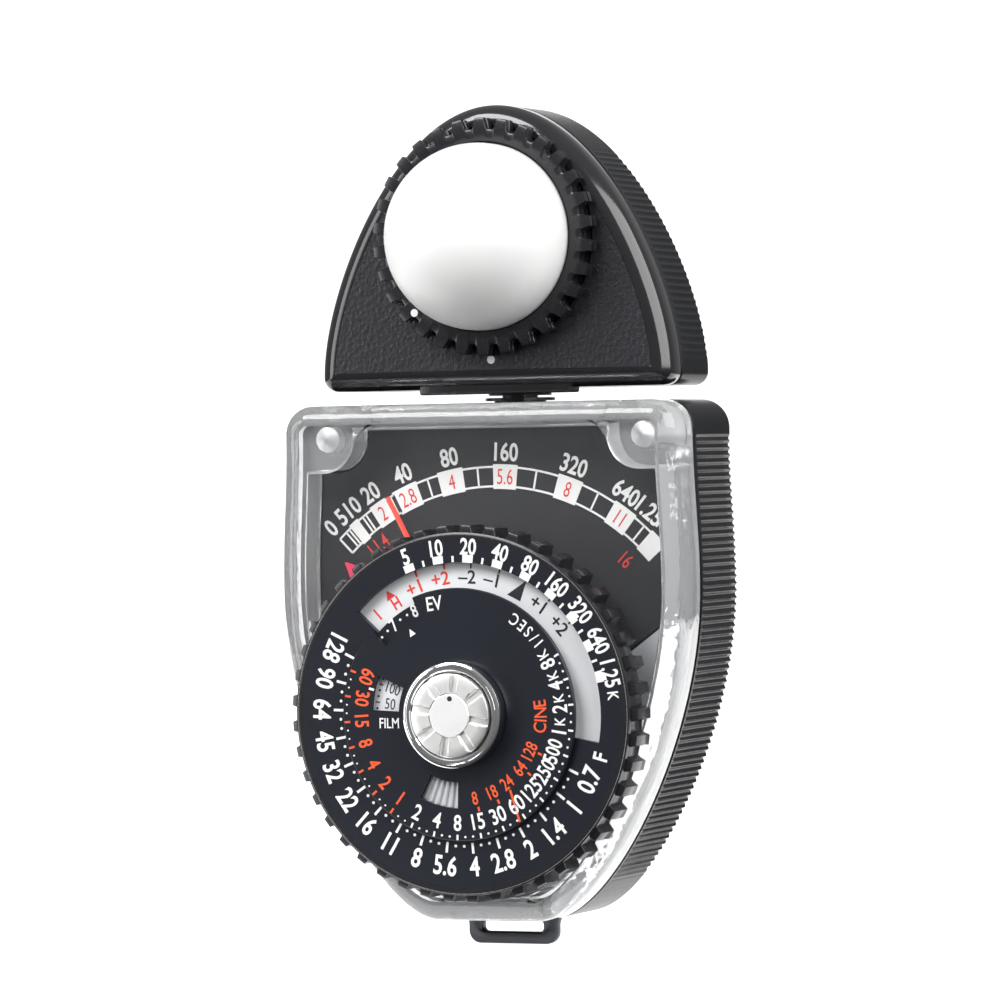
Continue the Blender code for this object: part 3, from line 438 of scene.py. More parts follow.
def bezier(start, first, second, end, count=60):
    t = np.linspace(0, 1, count)[:, None]
    a, b, c, d = (np.array(p, float) for p in (start, first, second, end))
    return (1 - t) ** 3 * a + 3 * (1 - t) ** 2 * t * b + 3 * (1 - t) * t * t * c + t ** 3 * d


def arc(cx, cz, radius, start, end, count=24):
    a = np.radians(np.linspace(start, end, count))
    return np.stack([cx + radius * np.cos(a), cz + radius * np.sin(a)], 1)


def evenly(loop, count=POINTS):
    """The same closed line with `count` points at equal steps, from its lowest middle."""
    loop = np.vstack([loop, loop[:1]])
    steps = np.hypot(*np.diff(loop, axis=0).T)
    loop = loop[np.concatenate([[True], steps > 1e-6])]
    along = np.concatenate([[0], np.cumsum(np.hypot(*np.diff(loop, axis=0).T))])
    want = np.linspace(0, along[-1], count, endpoint=False)
    return np.stack([np.interp(want, along, loop[:, k]) for k in (0, 1)], 1)


def mirrored(right, count=POINTS):
    right = np.vstack([[[0.0, right[0][1]]], right, [[0.0, right[-1][1]]]])
    left = right[::-1] * np.array([-1.0, 1.0])
    return evenly(np.vstack([right, left[1:-1]]), count)


def normals(loop):
    way = np.roll(loop, -1, 0) - np.roll(loop, 1, 0)
    way /= np.hypot(*way.T)[:, None]
    return np.stack([-way[:, 1], way[:, 0]], 1)


def inset(loop, distance):
    if abs(distance) < 1e-6:
        return loop
    moved = loop + normals(loop) * distance
    if distance > 0:
        gaps = np.sqrt(((moved[:, None] - loop[None]) ** 2).sum(2)).min(1)
        moved = moved[gaps > distance * 0.985 - 0.004]
    return evenly(moved, len(loop))


CASE_FLAT, CASE_CORNER, CASE_SHOULDER, CASE_WIDEST = 7.0, 3.8, 28.3, 44.3
HEAD_CORNER = 1.9


def case_line():
    bottom, top, half = case.bottom, case.top, case.half
    widest, shoulder = bottom + CASE_WIDEST, top - CASE_CORNER
    side = bezier((CASE_FLAT, bottom), (CASE_FLAT + 8.5, bottom),
                  (half, widest - CASE_WIDEST * 0.467), (half, widest))
    upper = bezier((half, widest), (half, widest + 8), (CASE_SHOULDER, shoulder - 8),
                   (CASE_SHOULDER, shoulder))
    corner = arc(CASE_SHOULDER - CASE_CORNER, shoulder, CASE_CORNER, 0, 90)
    return mirrored(np.vstack([side, upper[1:], corner[1:]]))


def head_line():
    half, bottom, top = head_rear.half, head_rear.bottom, head_rear.top
    low = bottom + HEAD_CORNER
    corner = arc(half - HEAD_CORNER, low, HEAD_CORNER, -90, 0)
    side = bezier((half, low), (half, low + 11.7), (half * 0.563, top), (0, top), 90)
    return mirrored(np.vstack([corner, side[1:-1], [[0.02, top]]]))


CASE_LINE, HEAD_LINE = case_line(), head_line()
print(f"case outline {np.ptp(CASE_LINE, axis=0).round(1)}, head outline "
      f"{np.ptp(HEAD_LINE, axis=0).round(1)} mm")


def at(loop, y):
    return [(x, y, z) for x, z in loop]


def rounded_rings(loop, front, radius, steps):
    """Rings that round the rim where the outline meets a plane y = front."""
    return [at(inset(loop, d), y) for d, y in quarter(radius, front, 0.0, front + radius, steps)]


# %% [markdown]
# ## The head
# The front shell is one painted casting: a flat face with a round opening for the dome's
# ring, and a broad rounded rim. The rounding does the work here, because a glossy edge
# picks up the softbox as one long highlight. The face carries the wrinkle finish, while the
# rim is smooth, so they are two pieces that meet on a flat line.

# %% Head front
RIM_ROUND, FACE_SUNK, FACE_THICK = 2.5, 0.02, 1.4
HOLE = 14.9
SEAM = 0.3
face_y = head_front.front
seam_y = head_rear.front - SEAM


def circle_like(loop, radius, centre_z):
    """Points on a circle that face the points of an outline."""
    x, z = loop[:, 0], loop[:, 1] - centre_z
    size = np.hypot(x, z)
    return np.stack([x / size * radius, z / size * radius + centre_z], 1)


inner_line = inset(HEAD_LINE, RIM_ROUND)
hole_line = circle_like(inner_line, HOLE, RING_Z)
groove_line = inset(HEAD_LINE, RIM_ROUND - 0.02)
face = [at(hole_line, face_y + FACE_THICK), at(hole_line, face_y + FACE_SUNK),
        at(inner_line, face_y + FACE_SUNK), at(inner_line, face_y + FACE_THICK)]
make("head_face", loft(face, closed=True), wrinkle_black, "head", ("head_front_shell",))
rim = [at(groove_line, face_y + 0.04), at(inset(HEAD_LINE, RIM_ROUND - 0.06), face_y)]
rim += rounded_rings(HEAD_LINE, face_y, RIM_ROUND - 0.06, 12)[1:]
rim += [at(HEAD_LINE, seam_y - 0.25), at(inset(HEAD_LINE, 0.08), seam_y - 0.05),
        at(inset(HEAD_LINE, 0.25), seam_y), at(inset(HEAD_LINE, 1.6), seam_y),
        at(inset(HEAD_LINE, 1.7), face_y + 1.5), at(groove_line, face_y + 1.45)]
make("head_rim", loft(rim, closed=True), rim_black, "head", sharp=40)


def slab(x0, x1, y0, y1, z0, z1, bevel):
    bm = bmesh.new()
    bmesh.ops.create_cube(bm, size=1.0)
    bmesh.ops.scale(bm, vec=(x1 - x0, y1 - y0, z1 - z0), verts=bm.verts)
    bmesh.ops.translate(bm, vec=((x0 + x1) / 2, (y0 + y1) / 2, (z0 + z1) / 2), verts=bm.verts)
    bmesh.ops.bevel(bm, geom=bm.edges[:], offset=bevel, segments=3, profile=0.5, affect="EDGES")
    return bm


LIP_HALF, LIP_TALL = 11, 2.3
lip = slab(-LIP_HALF, LIP_HALF, face_y + 1.0, seam_y - 0.3, head_front.bottom,
           head_front.bottom + LIP_TALL, 0.3)
make("head_lip", lip, rim_black, "head")
print("head front made")


# %% [markdown]
# The rear shell has a grip of fine ribs that run from front to back. A rib is a small wave
# in the outline, so the ribs are cut by moving the outline's points in and out along their
# normals. The wave fades to nothing before the corners, as the mould's does.

# %% Ribbed shells
RIB_SHARPNESS, RIB_FADE = 0.6, 1.2


def ribbed(loop, pitch, depth, low, high, count):
    """The outline with ribs between two heights, and how deep the wave is at each point."""
    fine = evenly(loop, count)
    steps = np.hypot(*(np.roll(fine, -1, 0) - fine).T)
    along = np.concatenate([[0], np.cumsum(steps)[:-1]])
    half = along[-1] / 2
    mirrored_along = np.where(along > half, 2 * half - along, along)
    wave = (0.5 - 0.5 * np.cos(2 * np.pi * mirrored_along / pitch)) ** RIB_SHARPNESS
    z = fine[:, 1]
    fade = np.clip((z - low) / RIB_FADE, 0, 1) * np.clip((high - z) / RIB_FADE, 0, 1)
    return fine, normals(fine) * (wave * fade * depth)[:, None]


def ribbed_shell(loop, front, back, back_round, pitch, depth, low, high, wall, count):
    """Rings of an open box with ribbed sides: from its floor, over the rim, to its back."""
    fine, dents = ribbed(loop, pitch, depth, low, high, count)
    hollow = inset(fine, wall)
    start, end = front + 0.9, back - back_round
    rings = [at(hollow, back - wall), at(hollow, front), at(inset(fine, 0.18), front),
             at(fine, front + 0.18), at(fine, start - 0.25), at(fine + dents * 0.7, start),
             at(fine + dents, start + 0.3), at(fine + dents, (start + end) / 2),
             at(fine + dents, end - 0.1)]
    for d, y in quarter(0.0, end, back_round, back, 8, bulge=False):
        share = max(0.0, 1 - d / back_round)
        rings.append(at(inset(fine, d) + dents * share, y))
    return rings


def drilled(item, holes):
    """Cuts round holes (x, z, radius, y from, y to) into a piece."""
    bm = bmesh.new()
    for x, z, radius, y0, y1 in holes:
        loop = arc(x, z, radius, 0, 360, 49)[:-1]
        loft([at(loop, y0), at(loop, y1)], into=bm)
    bmesh.ops.recalc_face_normals(bm, faces=bm.faces)
    bmesh.ops.scale(bm, vec=(MM, MM, MM), verts=bm.verts)
    cutter = bpy.data.objects.new("cutter", bpy.data.meshes.new("cutter"))
    bm.to_mesh(cutter.data)
    bm.free()
    bpy.context.scene.collection.objects.link(cutter)
    modifier = item.modifiers.new("holes", "BOOLEAN")
    modifier.operation, modifier.solver, modifier.object = "DIFFERENCE", "EXACT", cutter
    graph = bpy.context.evaluated_depsgraph_get()
    item.data = bpy.data.meshes.new_from_object(item.evaluated_get(graph))
    item.modifiers.clear()
    item.data.set_sharp_from_angle(angle=math.radians(30))
    bpy.data.objects.remove(cutter)


head_rings = ribbed_shell(HEAD_LINE, head_rear.front, head_rear.back, 1.4, 1.0, 0.13,
                          head_rear.bottom + 3.4, head_rear.top - 6, 1.6, 1500)
head_shell = make("head_back", loft(head_rings), case_black, "head", ("head_rear_shell",))
head_screws = [Span(f"head_screw_{side}") for side in ("left", "right")]
drilled(head_shell, [(s.mid.x, s.mid.z, 2.1, head_rear.back - 1.1, head_rear.back + 1)
                     for s in head_screws])

case_rings = ribbed_shell(CASE_LINE, case.front, case.back, 1.4, 0.95, 0.32,
                          case.bottom + 4.9, case.top - 4.3, 1.8, 2200)
case_shell = make("case_back", loft(case_rings), case_black, "case", ("rear_case",))
case_screws = [Span(f"case_screw_{place}") for place in
               ("upper_left", "upper_right", "lower_left", "lower_right")]
holes = [(s.mid.x, s.mid.z, 2.3, case.back - 1.0, case.back + 1) for s in case_screws]
holes += [(0, DIAL_Z, knob.half + 0.6, case.back - 0.4, case.back + 1),
          (0, DIAL_Z, 4.7, case.back - 3, case.back - 0.2)]
drilled(case_shell, holes)
print("shells:", len(head_shell.data.polygons), "and", len(case_shell.data.polygons), "faces")


# %% [markdown]
# ## The receptor
# A knurled ring turns the dome. Its grip is thirty U-shaped bites. Each bite is a steep
# power curve of the angle, so its floor is round and its sides nearly straight, and a small
# chamfer on every ring of points catches the light on the edges.

# %% Knurled ring
RING_TEETH, BITE, BITE_DEPTH = 30, 0.52, 1.5
SLEEVE_R, FLANGE_INNER = 12.3, 13.0


def bitten(radius, depth, teeth, share, centre_z, per_tooth=20, turn=0.0, power=4):
    """A circle with U-shaped bites that each take `share` of a tooth's step."""
    angles = np.arange(teeth * per_tooth) / (teeth * per_tooth)
    phase = (angles * teeth + 0.5) % 1.0
    across = np.clip(np.abs(phase - 0.5) / (share / 2), 0, 1)
    cut = depth * (1 - across ** power) ** 0.5
    a = 2 * np.pi * angles + math.radians(turn)
    r = radius - cut
    return np.stack([r * np.cos(a), centre_z + r * np.sin(a)], 1)


def shrunk(loop, centre_z, by):
    """Moves points towards the centre by a small distance, for a chamfer."""
    x, z = loop[:, 0], loop[:, 1] - centre_z
    scale = 1 - by / np.hypot(x, z)
    return np.stack([x * scale, z * scale + centre_z], 1)


grip = bitten(ring.half, BITE_DEPTH, RING_TEETH, BITE, RING_Z)
inner = circle_like(grip, dome.half + 0.3, RING_Z)
lip_line = circle_like(grip, dome.half + 0.45, RING_Z)
sleeve, flange = (circle_like(grip, r, RING_Z) for r in (SLEEVE_R, FLANGE_INNER))
chamfer, soft_edge, groove = (shrunk(grip, RING_Z, by) for by in (0.28, 0.08, 0.45))
face_back = head_front.front - 0.3
front_steps = [(inner, 0.95), (inner, 0.1), (lip_line, 0.0), (chamfer, 0.0), (soft_edge, 0.07),
               (grip, 0.28), (grip, 0.7), (groove, 0.8), (groove, 1.15), (grip, 1.25)]
rings = [at(loop, ring.front + step) for loop, step in front_steps]
rings += [at(grip, face_back - 0.2), at(shrunk(grip, RING_Z, 0.2), face_back),
          at(flange, face_back), at(flange, ring.back), at(sleeve, ring.back),
          at(sleeve, ring.front + 0.95)]
make("receptor_grip", loft(rings, closed=True), grip_black, "receptor", ("receptor_ring",),
     35)

DOME_R, DOME_INNER, SKIRT_R = dome.half, 10.9, 11.9
dome_y = ring.front - 1.0
skirt_y = dome.back - 0.02


def meridian(radius, steps):
    """Points of the dome's half section, from its tip to its rim."""
    turns = (math.pi / 2 * i / steps for i in range(steps + 1))
    return [(radius * math.sin(a), dome_y - radius * math.cos(a)) for a in turns]


profile = [(0.0, dome_y - DOME_R)] + meridian(DOME_R, 32)[1:]
profile += [(DOME_R, ring.front + 0.6), (SKIRT_R, ring.front + 0.7), (SKIRT_R, skirt_y),
            (DOME_INNER, skirt_y)]
profile += meridian(DOME_INNER, 24)[::-1]
make("dome", turned(profile, RING_Z, 128, closed=False), dome_white, "receptor",
     ("diffuser_dome",), 40)


def disc(x, z, radius, y, thick):
    loop = arc(x, z, radius, 0, 360, 33)[:-1]
    return loft([at(loop, y), at(loop, y - thick)])


def polar(radius, degrees, centre_z=DIAL_Z):
    a = math.radians(degrees)
    return radius * math.cos(a), centre_z + radius * math.sin(a)


RING_MARKS = 13.9
ring_print_y = ring.front + 0.02
make("ring_dot", disc(*polar(RING_MARKS, -135, RING_Z), 0.52, ring_print_y, 0.05), ink_white,
     "receptor")
# The pin hole is not cut: a flat black ink disc stands in for it, and its black is painted shade for
# the hole's dark inside.
make("ring_pin_hole_painted_shade", disc(*polar(RING_MARKS, 47, RING_Z), 0.42, ring_print_y, 0.03), ink_black,
     "receptor")
make("head_dot", disc(0.0, head_front.bottom + 4.55, 0.55, face_y + 0.04, 0.05), ink_white, "head")
print("receptor made")


# %% [markdown]
# ## The clear cover
# The cover is a thick moulding with a rounded rim and a solid block round each screw. Its
# window is a flat piece of its own here: a nearly clear sheet, which keeps the print behind
# it crisp. The rim and the blocks are one solid that refracts, and all its edges are
# rounded, because clear plastic is seen only by the bright lines on its edges.

# %% Clear cover
WINDOW_EDGE, COVER_ROUND = 2.6, 2.4
NOTCH, WALL = 4.2, 3.0
SHAFT_HOLE = 3.5
POST_R, BORE_R, BORE_DEPTH = 2.2, 1.45, 1.6
pane_back = cover.front + 1.6
seat_y = case.front - 0.3


def window_line(distance, notch):
    """The case outline moved in, with a round step past each upper screw."""
    line = inset(CASE_LINE, distance)
    boss = case_screws[1].mid
    right = line[(line[:, 0] > 0) & (line[:, 1] < boss.z - notch)]
    right = right[np.argsort(right[:, 1])]
    corner = arc(boss.x, boss.z, notch, -90, -180, 24)
    top = [[boss.x - notch, case.top - distance]]
    return mirrored(np.vstack([right, [[right[-1, 0], boss.z - notch]], corner, top]))


outer_rim = rounded_rings(CASE_LINE, cover.front, COVER_ROUND, 10)
inner_edge = inset(CASE_LINE, WINDOW_EDGE)
hollow_line = window_line(WALL, NOTCH)
step_line = window_line(WALL + 0.35, NOTCH + 0.35)
rim_rings = [at(inner_edge, pane_back), at(inner_edge, cover.front + 0.05)] + outer_rim
rim_rings += [at(CASE_LINE, seat_y - 0.3), at(inset(CASE_LINE, 0.25), seat_y),
              at(inset(CASE_LINE, 2.2), seat_y),
              at(window_line(WALL - 0.15, NOTCH - 0.15), seat_y),
              at(hollow_line, seat_y - 0.3), at(hollow_line, pane_back + 0.6),
              at(step_line, pane_back + 0.1)]
make("cover_rim", loft(rim_rings, closed=True), clear_acrylic, "case", ("clear_cover",),
     50)

pane_edge = inset(CASE_LINE, WINDOW_EDGE + 0.04)
pane_hole = circle_like(pane_edge, SHAFT_HOLE, DIAL_Z)
pane_rings = [at(pane_hole, pane_back - 0.02), at(pane_hole, cover.front + 0.02),
              at(pane_edge, cover.front + 0.02), at(pane_edge, pane_back - 0.02)]
make("cover_window", loft(pane_rings, closed=True), clear_window, "case")


def at_screw(name, profile, screw, finish):
    """Spins a profile about a case screw's axis, as a piece of the clear cover."""
    bm = turned(profile, screw.mid.z, 48, closed=False, centre_x=screw.mid.x)
    make(name, bm, finish, "case", sharp=40)


tip = pane_back + BORE_DEPTH
post_back = case.back - 2.2
for number, screw in enumerate(case_screws):
    upper = screw.mid.z > DIAL_Z
    start = seat_y + 0.05 if upper else pane_back + 0.05
    bore_wall, bore_tip = (start + 0.5, start + 0.3) if upper else (tip + 1.0, tip)
    post = [(0.0, start), (POST_R - 0.25, start), (POST_R, start + 0.25), (POST_R, post_back),
            (BORE_R, post_back), (BORE_R, bore_wall), (0.0, bore_tip)]
    at_screw(f"cover_post_{number}", post, screw, clear_acrylic)
    if upper:
        lining = [(0.0, tip - 0.3), (0.35, tip - 0.1), (1.0, tip + 0.45), (1.7, tip + 0.9),
                  (1.75, seat_y - 0.1), (1.5, seat_y - 0.1), (1.5, tip + 1.2), (0.0, tip + 0.4)]
        at_screw(f"screw_bore_{number}", lining, screw, satin)
print("cover made")


# %% [markdown]
# ## Plates behind the window
# The scale plate is thin sheet with a dark satin coat, and below it a light plate fills the
# case. Both are flat outlines with a crisp edge, cut where the CAD plates are cut.

# %% Scale plate and lower plate
PLATE_X, PLATE_SLOPE = 15.8, 0.71
plate_top_z = DIAL_Z + 5.7
plate_low_z = DIAL_Z - 11.0
full_line = window_line(WALL + 0.3, NOTCH + 0.3)


def border(x):
    """The height of the plates' common edge at one x."""
    x = abs(x)
    return plate_low_z if x < PLATE_X else plate_top_z + PLATE_SLOPE * (x - PLATE_X)


def right_run(points):
    """The right half of a run of points, in order of their angle about the dial axis."""
    right = points[points[:, 0] > 0]
    return right[np.argsort(np.arctan2(right[:, 1] - DIAL_Z, right[:, 0]))]


above = np.array([z > border(x) for x, z in full_line])
upper_run, lower_run = right_run(full_line[above]), right_run(full_line[~above])
edge_x, top_x = full_line[above][:, 0].max(), lower_run[-1, 0]
stair = [[0.0, plate_low_z], [PLATE_X, plate_low_z], [PLATE_X, plate_top_z],
         [edge_x, border(edge_x)]]
scale_line = mirrored(np.vstack([stair, upper_run]), 700)
bm = loft([at(scale_line, plate.back), at(scale_line, plate.front)])
make("scale_face", bm, scale_black, "case", ("scale_plate",))

PLATE_GAP = 0.3
inner = [[top_x, border(top_x) - PLATE_GAP], [PLATE_X + PLATE_GAP, plate_top_z - PLATE_GAP],
         [PLATE_X + PLATE_GAP, plate_low_z - PLATE_GAP], [0.02, plate_low_z - PLATE_GAP]]
mask_line = mirrored(np.vstack([lower_run, inner]), 700)
bm = loft([at(mask_line, plate.back), at(mask_line, plate.front)])
mask = make("lower_face", bm, mask_silver, "case", ("lower_mask_plate",))
drilled(mask, [(s.mid.x, s.mid.z, POST_R + 0.3, plate.front - 1, plate.back + 1)
               for s in case_screws[2:]])
print("plates made")


# %% [markdown]
# ## Strap lug
# A stamped steel plate: an outer outline and a slot, joined by rings that round both edges.
# The front edge of a stamping is rolled over, so it shows as a bright line.

# %% Strap lug
LUG_ROUND, LUG_CORNER, LUG_STEP, LUG_POINTS = 0.32, 1.7, 0.35, 480
SLOT_HALF, SLOT_CORNER = 4.4, 0.62


def lug_line():
    low, half = lug.bottom, lug.half - LUG_STEP
    corner = arc(half - LUG_CORNER, low + LUG_CORNER, LUG_CORNER, -90, 0, 14)
    step = bezier((half, low + 2.4), (half, low + 3.2), (lug.half, low + 3.2),
                  (lug.half, low + 4.2), 10)
    right = np.vstack([[[0.0, low]], corner, [[half, low + 2.4]], step, [[lug.half, lug.top]]])
    return mirrored(right, LUG_POINTS)


def slot_line():
    low, high = lug.bottom + 1.6 + SLOT_CORNER, lug.bottom + 3.15 - SLOT_CORNER
    middle = SLOT_HALF - SLOT_CORNER
    right = np.vstack([arc(middle, low, SLOT_CORNER, -90, 0, 12),
                       arc(middle, high, SLOT_CORNER, 0, 90, 12)])
    return mirrored(right, LUG_POINTS)


outline, slot = lug_line(), slot_line()
front, back = lug.front, lug.back
rings = [at(inset(outline, LUG_ROUND), front), at(inset(outline, LUG_ROUND * 0.3), front + 0.1),
         at(outline, front + LUG_ROUND), at(outline, back - LUG_ROUND),
         at(inset(outline, LUG_ROUND), back), at(inset(slot, -LUG_ROUND), back),
         at(slot, back - LUG_ROUND), at(slot, front + LUG_ROUND),
         at(inset(slot, -LUG_ROUND * 0.3), front + 0.1), at(inset(slot, -LUG_ROUND), front)]
make("lug_plate", loft(rings, closed=True), gunmetal, "case", ("strap_lug",), 50)
print("lug made")


# %% [markdown]
# ## Flat plates with windows
# The dials are thin discs with arc-shaped windows. A polar grid makes them: circles and
# spokes give cells, the cells of a window are left out, and every border gets a side wall.
# The result is closed and has no Boolean scars, so the faces stay flat and shade cleanly.

# %% Polar plate
CELL_SIDES = (((-1, 0), (0, 0), (0, 1)), ((1, 0), (1, 0), (1, 1)),
              ((0, -1), (0, 0), (1, 0)), ((0, 1), (0, 1), (1, 1)))


def polar_plate(radii, angles, front, back, skip=(), lift=None):
    """A disc of cells between radii and angles (degrees), from y = front to y = back.

    Each window to skip is (inner radius, outer radius, from angle, to angle). `lift` says how
    far each circle of the front is moved back."""
    steps = len(angles) - 1
    bm = bmesh.new()
    grid = {}

    def vert(i, k, side):
        key = (i, k % steps, side)
        if key not in grid:
            x, z = polar(radii[i], angles[k % steps])
            grid[key] = bm.verts.new((x, back if side else front + (lift[i] if lift else 0.0), z))
        return grid[key]

    def solid(i, k):
        if not 0 <= i < len(radii) - 1:
            return False
        k %= steps
        r, a = (radii[i] + radii[i + 1]) / 2, (angles[k] + angles[k + 1]) / 2 % 360
        return not any(r0 < r < r1 and (a - a0) % 360 < a1 - a0 for r0, r1, a0, a1 in skip)

    for i, k in ((i, k) for i in range(len(radii) - 1) for k in range(steps)):
        if not solid(i, k):
            continue
        for side in (0, 1):
            bm.faces.new([vert(i, k, side), vert(i + 1, k, side),
                          vert(i + 1, k + 1, side), vert(i, k + 1, side)])
        for (di, dk), a, b in CELL_SIDES:
            if not solid(i + di, k + dk):
                bm.faces.new([vert(i + p, k + q, side)
                              for (p, q), side in ((a, 0), (b, 0), (b, 1), (a, 1))])
    return bm


def spokes_with(*marks, step=2.0):
    """Angles round the circle at even steps, with the given marks among them."""
    angles = set(np.arange(0, 360, step).round(3)) | {m % 360 for m in marks}
    ordered = sorted(angles)
    return ordered + [ordered[0] + 360]


# %% [markdown]
# ## The dials
# Three parts turn or stand on one axis: the outer dial with its knurled edge and the arc
# window, the pale film-speed disc below it, which shows in that window, and the fixed
# centre disc with the time scale. The outer dial's rim has forty-five square teeth.

# %% Outer dial
WINDOW_IN, WINDOW_OUT = shutter.half - 0.8, 19.9
WINDOW_FROM, WINDOW_TO = -10.7, 137.3
FACE_R = dial.half - 0.95
FACE_SEAM = FACE_R - 1.1
TEETH, TOOTH = 45, 1.2
FILM_R = 13.5
sheet_back = dial.front + 0.9
face_radii = [FILM_R, WINDOW_IN, WINDOW_OUT, 21.5, FACE_SEAM]
dial_spokes = spokes_with(WINDOW_FROM, WINDOW_TO, step=3.0)
window_start = WINDOW_FROM % 360
arc_window = (WINDOW_IN, WINDOW_OUT, window_start, window_start + WINDOW_TO - WINDOW_FROM)
bm = polar_plate(face_radii, dial_spokes, dial.front, sheet_back, skip=[arc_window])
make("dial_face", bm, dial_black, "outer_dial", ("outer_dial",))

teeth = bitten(dial.half, TOOTH, TEETH, 0.52, DIAL_Z, 16, turn=4.0, power=10)
inner = circle_like(teeth, FACE_SEAM, DIAL_Z)
rim_inner = circle_like(teeth, dial.half - 2.5, DIAL_Z)
rings = [at(inner, sheet_back), at(inner, dial.front)]
for r, step in ((-0.55, 0.0), (-0.25, 0.0), (-0.05, 0.12), (0.0, 0.35), (0.0, 0.72)):
    rings.append(at(circle_like(teeth, FACE_R + r, DIAL_Z), dial.front + step))
for by, step in ((0.28, 0.75), (0.08, 0.83)):
    rings.append(at(shrunk(teeth, DIAL_Z, by), dial.front + step))
rings += [at(teeth, dial.front + 1.02), at(teeth, dial.back - 0.3),
          at(shrunk(teeth, DIAL_Z, 0.2), dial.back), at(rim_inner, dial.back),
          at(rim_inner, sheet_back)]
make("dial_grip", loft(rings, closed=True), grip_black, "outer_dial", sharp=35)
edge = [(FACE_R - 0.32, dial.front - 0.015), (FACE_R - 0.24, dial.front - 0.015),
        (FACE_R - 0.22, dial.front + 0.05), (FACE_R - 0.32, dial.front + 0.05)]
make("dial_edge_line", turned(edge, DIAL_Z, 144), steel, "outer_dial")
print("outer dial made")


# %% Film disc and centre disc
HUB_R, FLANGE_R = 13.2, film.half
hub_y, flange_y = film.front, dial.front + 1.2
profile = [(SHAFT_HOLE, hub_y), (HUB_R - 0.15, hub_y), (HUB_R, hub_y + 0.15), (HUB_R, flange_y),
           (FLANGE_R, flange_y), (FLANGE_R, film.back), (SHAFT_HOLE, film.back)]
make("film_disc", turned(profile, DIAL_Z, 96), band_white, "iso_disc", ("iso_disc",))

FILM_WINDOW = (8.5, 12.4, 156.0, 177.5)
TAB_WINDOW = (8.9, 12.3, 243.0, 269.0)
EV_WINDOW = (13.6, shutter.half + 1, 112.3, 138.5)
centre_spokes = spokes_with(*FILM_WINDOW[2:], *TAB_WINDOW[2:], *EV_WINDOW[2:], step=3.0)
centre_radii = [SHAFT_HOLE, 8.5, 8.9, 12.3, 12.4, 13.6, shutter.half - 0.15, shutter.half]
lift = [0] * 7 + [0.12]
bm = polar_plate(centre_radii, centre_spokes, shutter.front, shutter.back,
                 skip=[FILM_WINDOW, TAB_WINDOW, EV_WINDOW], lift=lift)
make("centre_disc", bm, dial_black, "case", ("shutter_disc",))
RIB_HALF = 0.3
bm = bmesh.new()
for turn_to in np.linspace(244.5, 267.5, 6):
    (x0, z0), (x1, z1) = polar(9.0, turn_to), polar(12.2, turn_to)
    way = Vector((x1 - x0, 0, z1 - z0)).normalized()
    side = Vector((-way.z, 0, way.x)) * RIB_HALF
    loops = []
    for share, y in ((1.0, hub_y), (0.75, hub_y - 0.22), (0.35, hub_y - 0.3)):
        p, q, s = Vector((x0, y, z0)), Vector((x1, y, z1)), side * share
        loops.append([p - s, q - s, q + s, p + s])
    loft(loops, into=bm)
make("film_tab_ribs", bm, mask_silver, "iso_disc", sharp=50)
print("film disc and centre disc made")


# %% [markdown]
# ## Print
# Scales are screen printed. `Ink` gathers every mark of one colour that lies on one face:
# figures come from Blender's own typeface, narrowed and thickened a little, and ticks, dots
# and blocks are short prisms. The ink stands 0.03 mm proud, as thick ink does, which also
# keeps it clear of the face below it.

# %% Ink
INK = 0.03
FIGURE = 0.7        # height of a figure in the typeface's own units


def figure_mesh(words, bold):
    """A line of text, one unit high, as a flat solid centred on its own middle."""
    curve = bpy.data.curves.new("figures", "FONT")
    curve.body, curve.align_x, curve.align_y = words, "CENTER", "CENTER"
    curve.offset, curve.extrude, curve.resolution_u = bold, 0.5, 3
    item = bpy.data.objects.new("figures", curve)
    bpy.context.scene.collection.objects.link(item)
    graph = bpy.context.evaluated_depsgraph_get()
    mesh = bpy.data.meshes.new_from_object(item.evaluated_get(graph))
    bpy.data.objects.remove(item)
    bpy.data.curves.remove(curve)
    return mesh


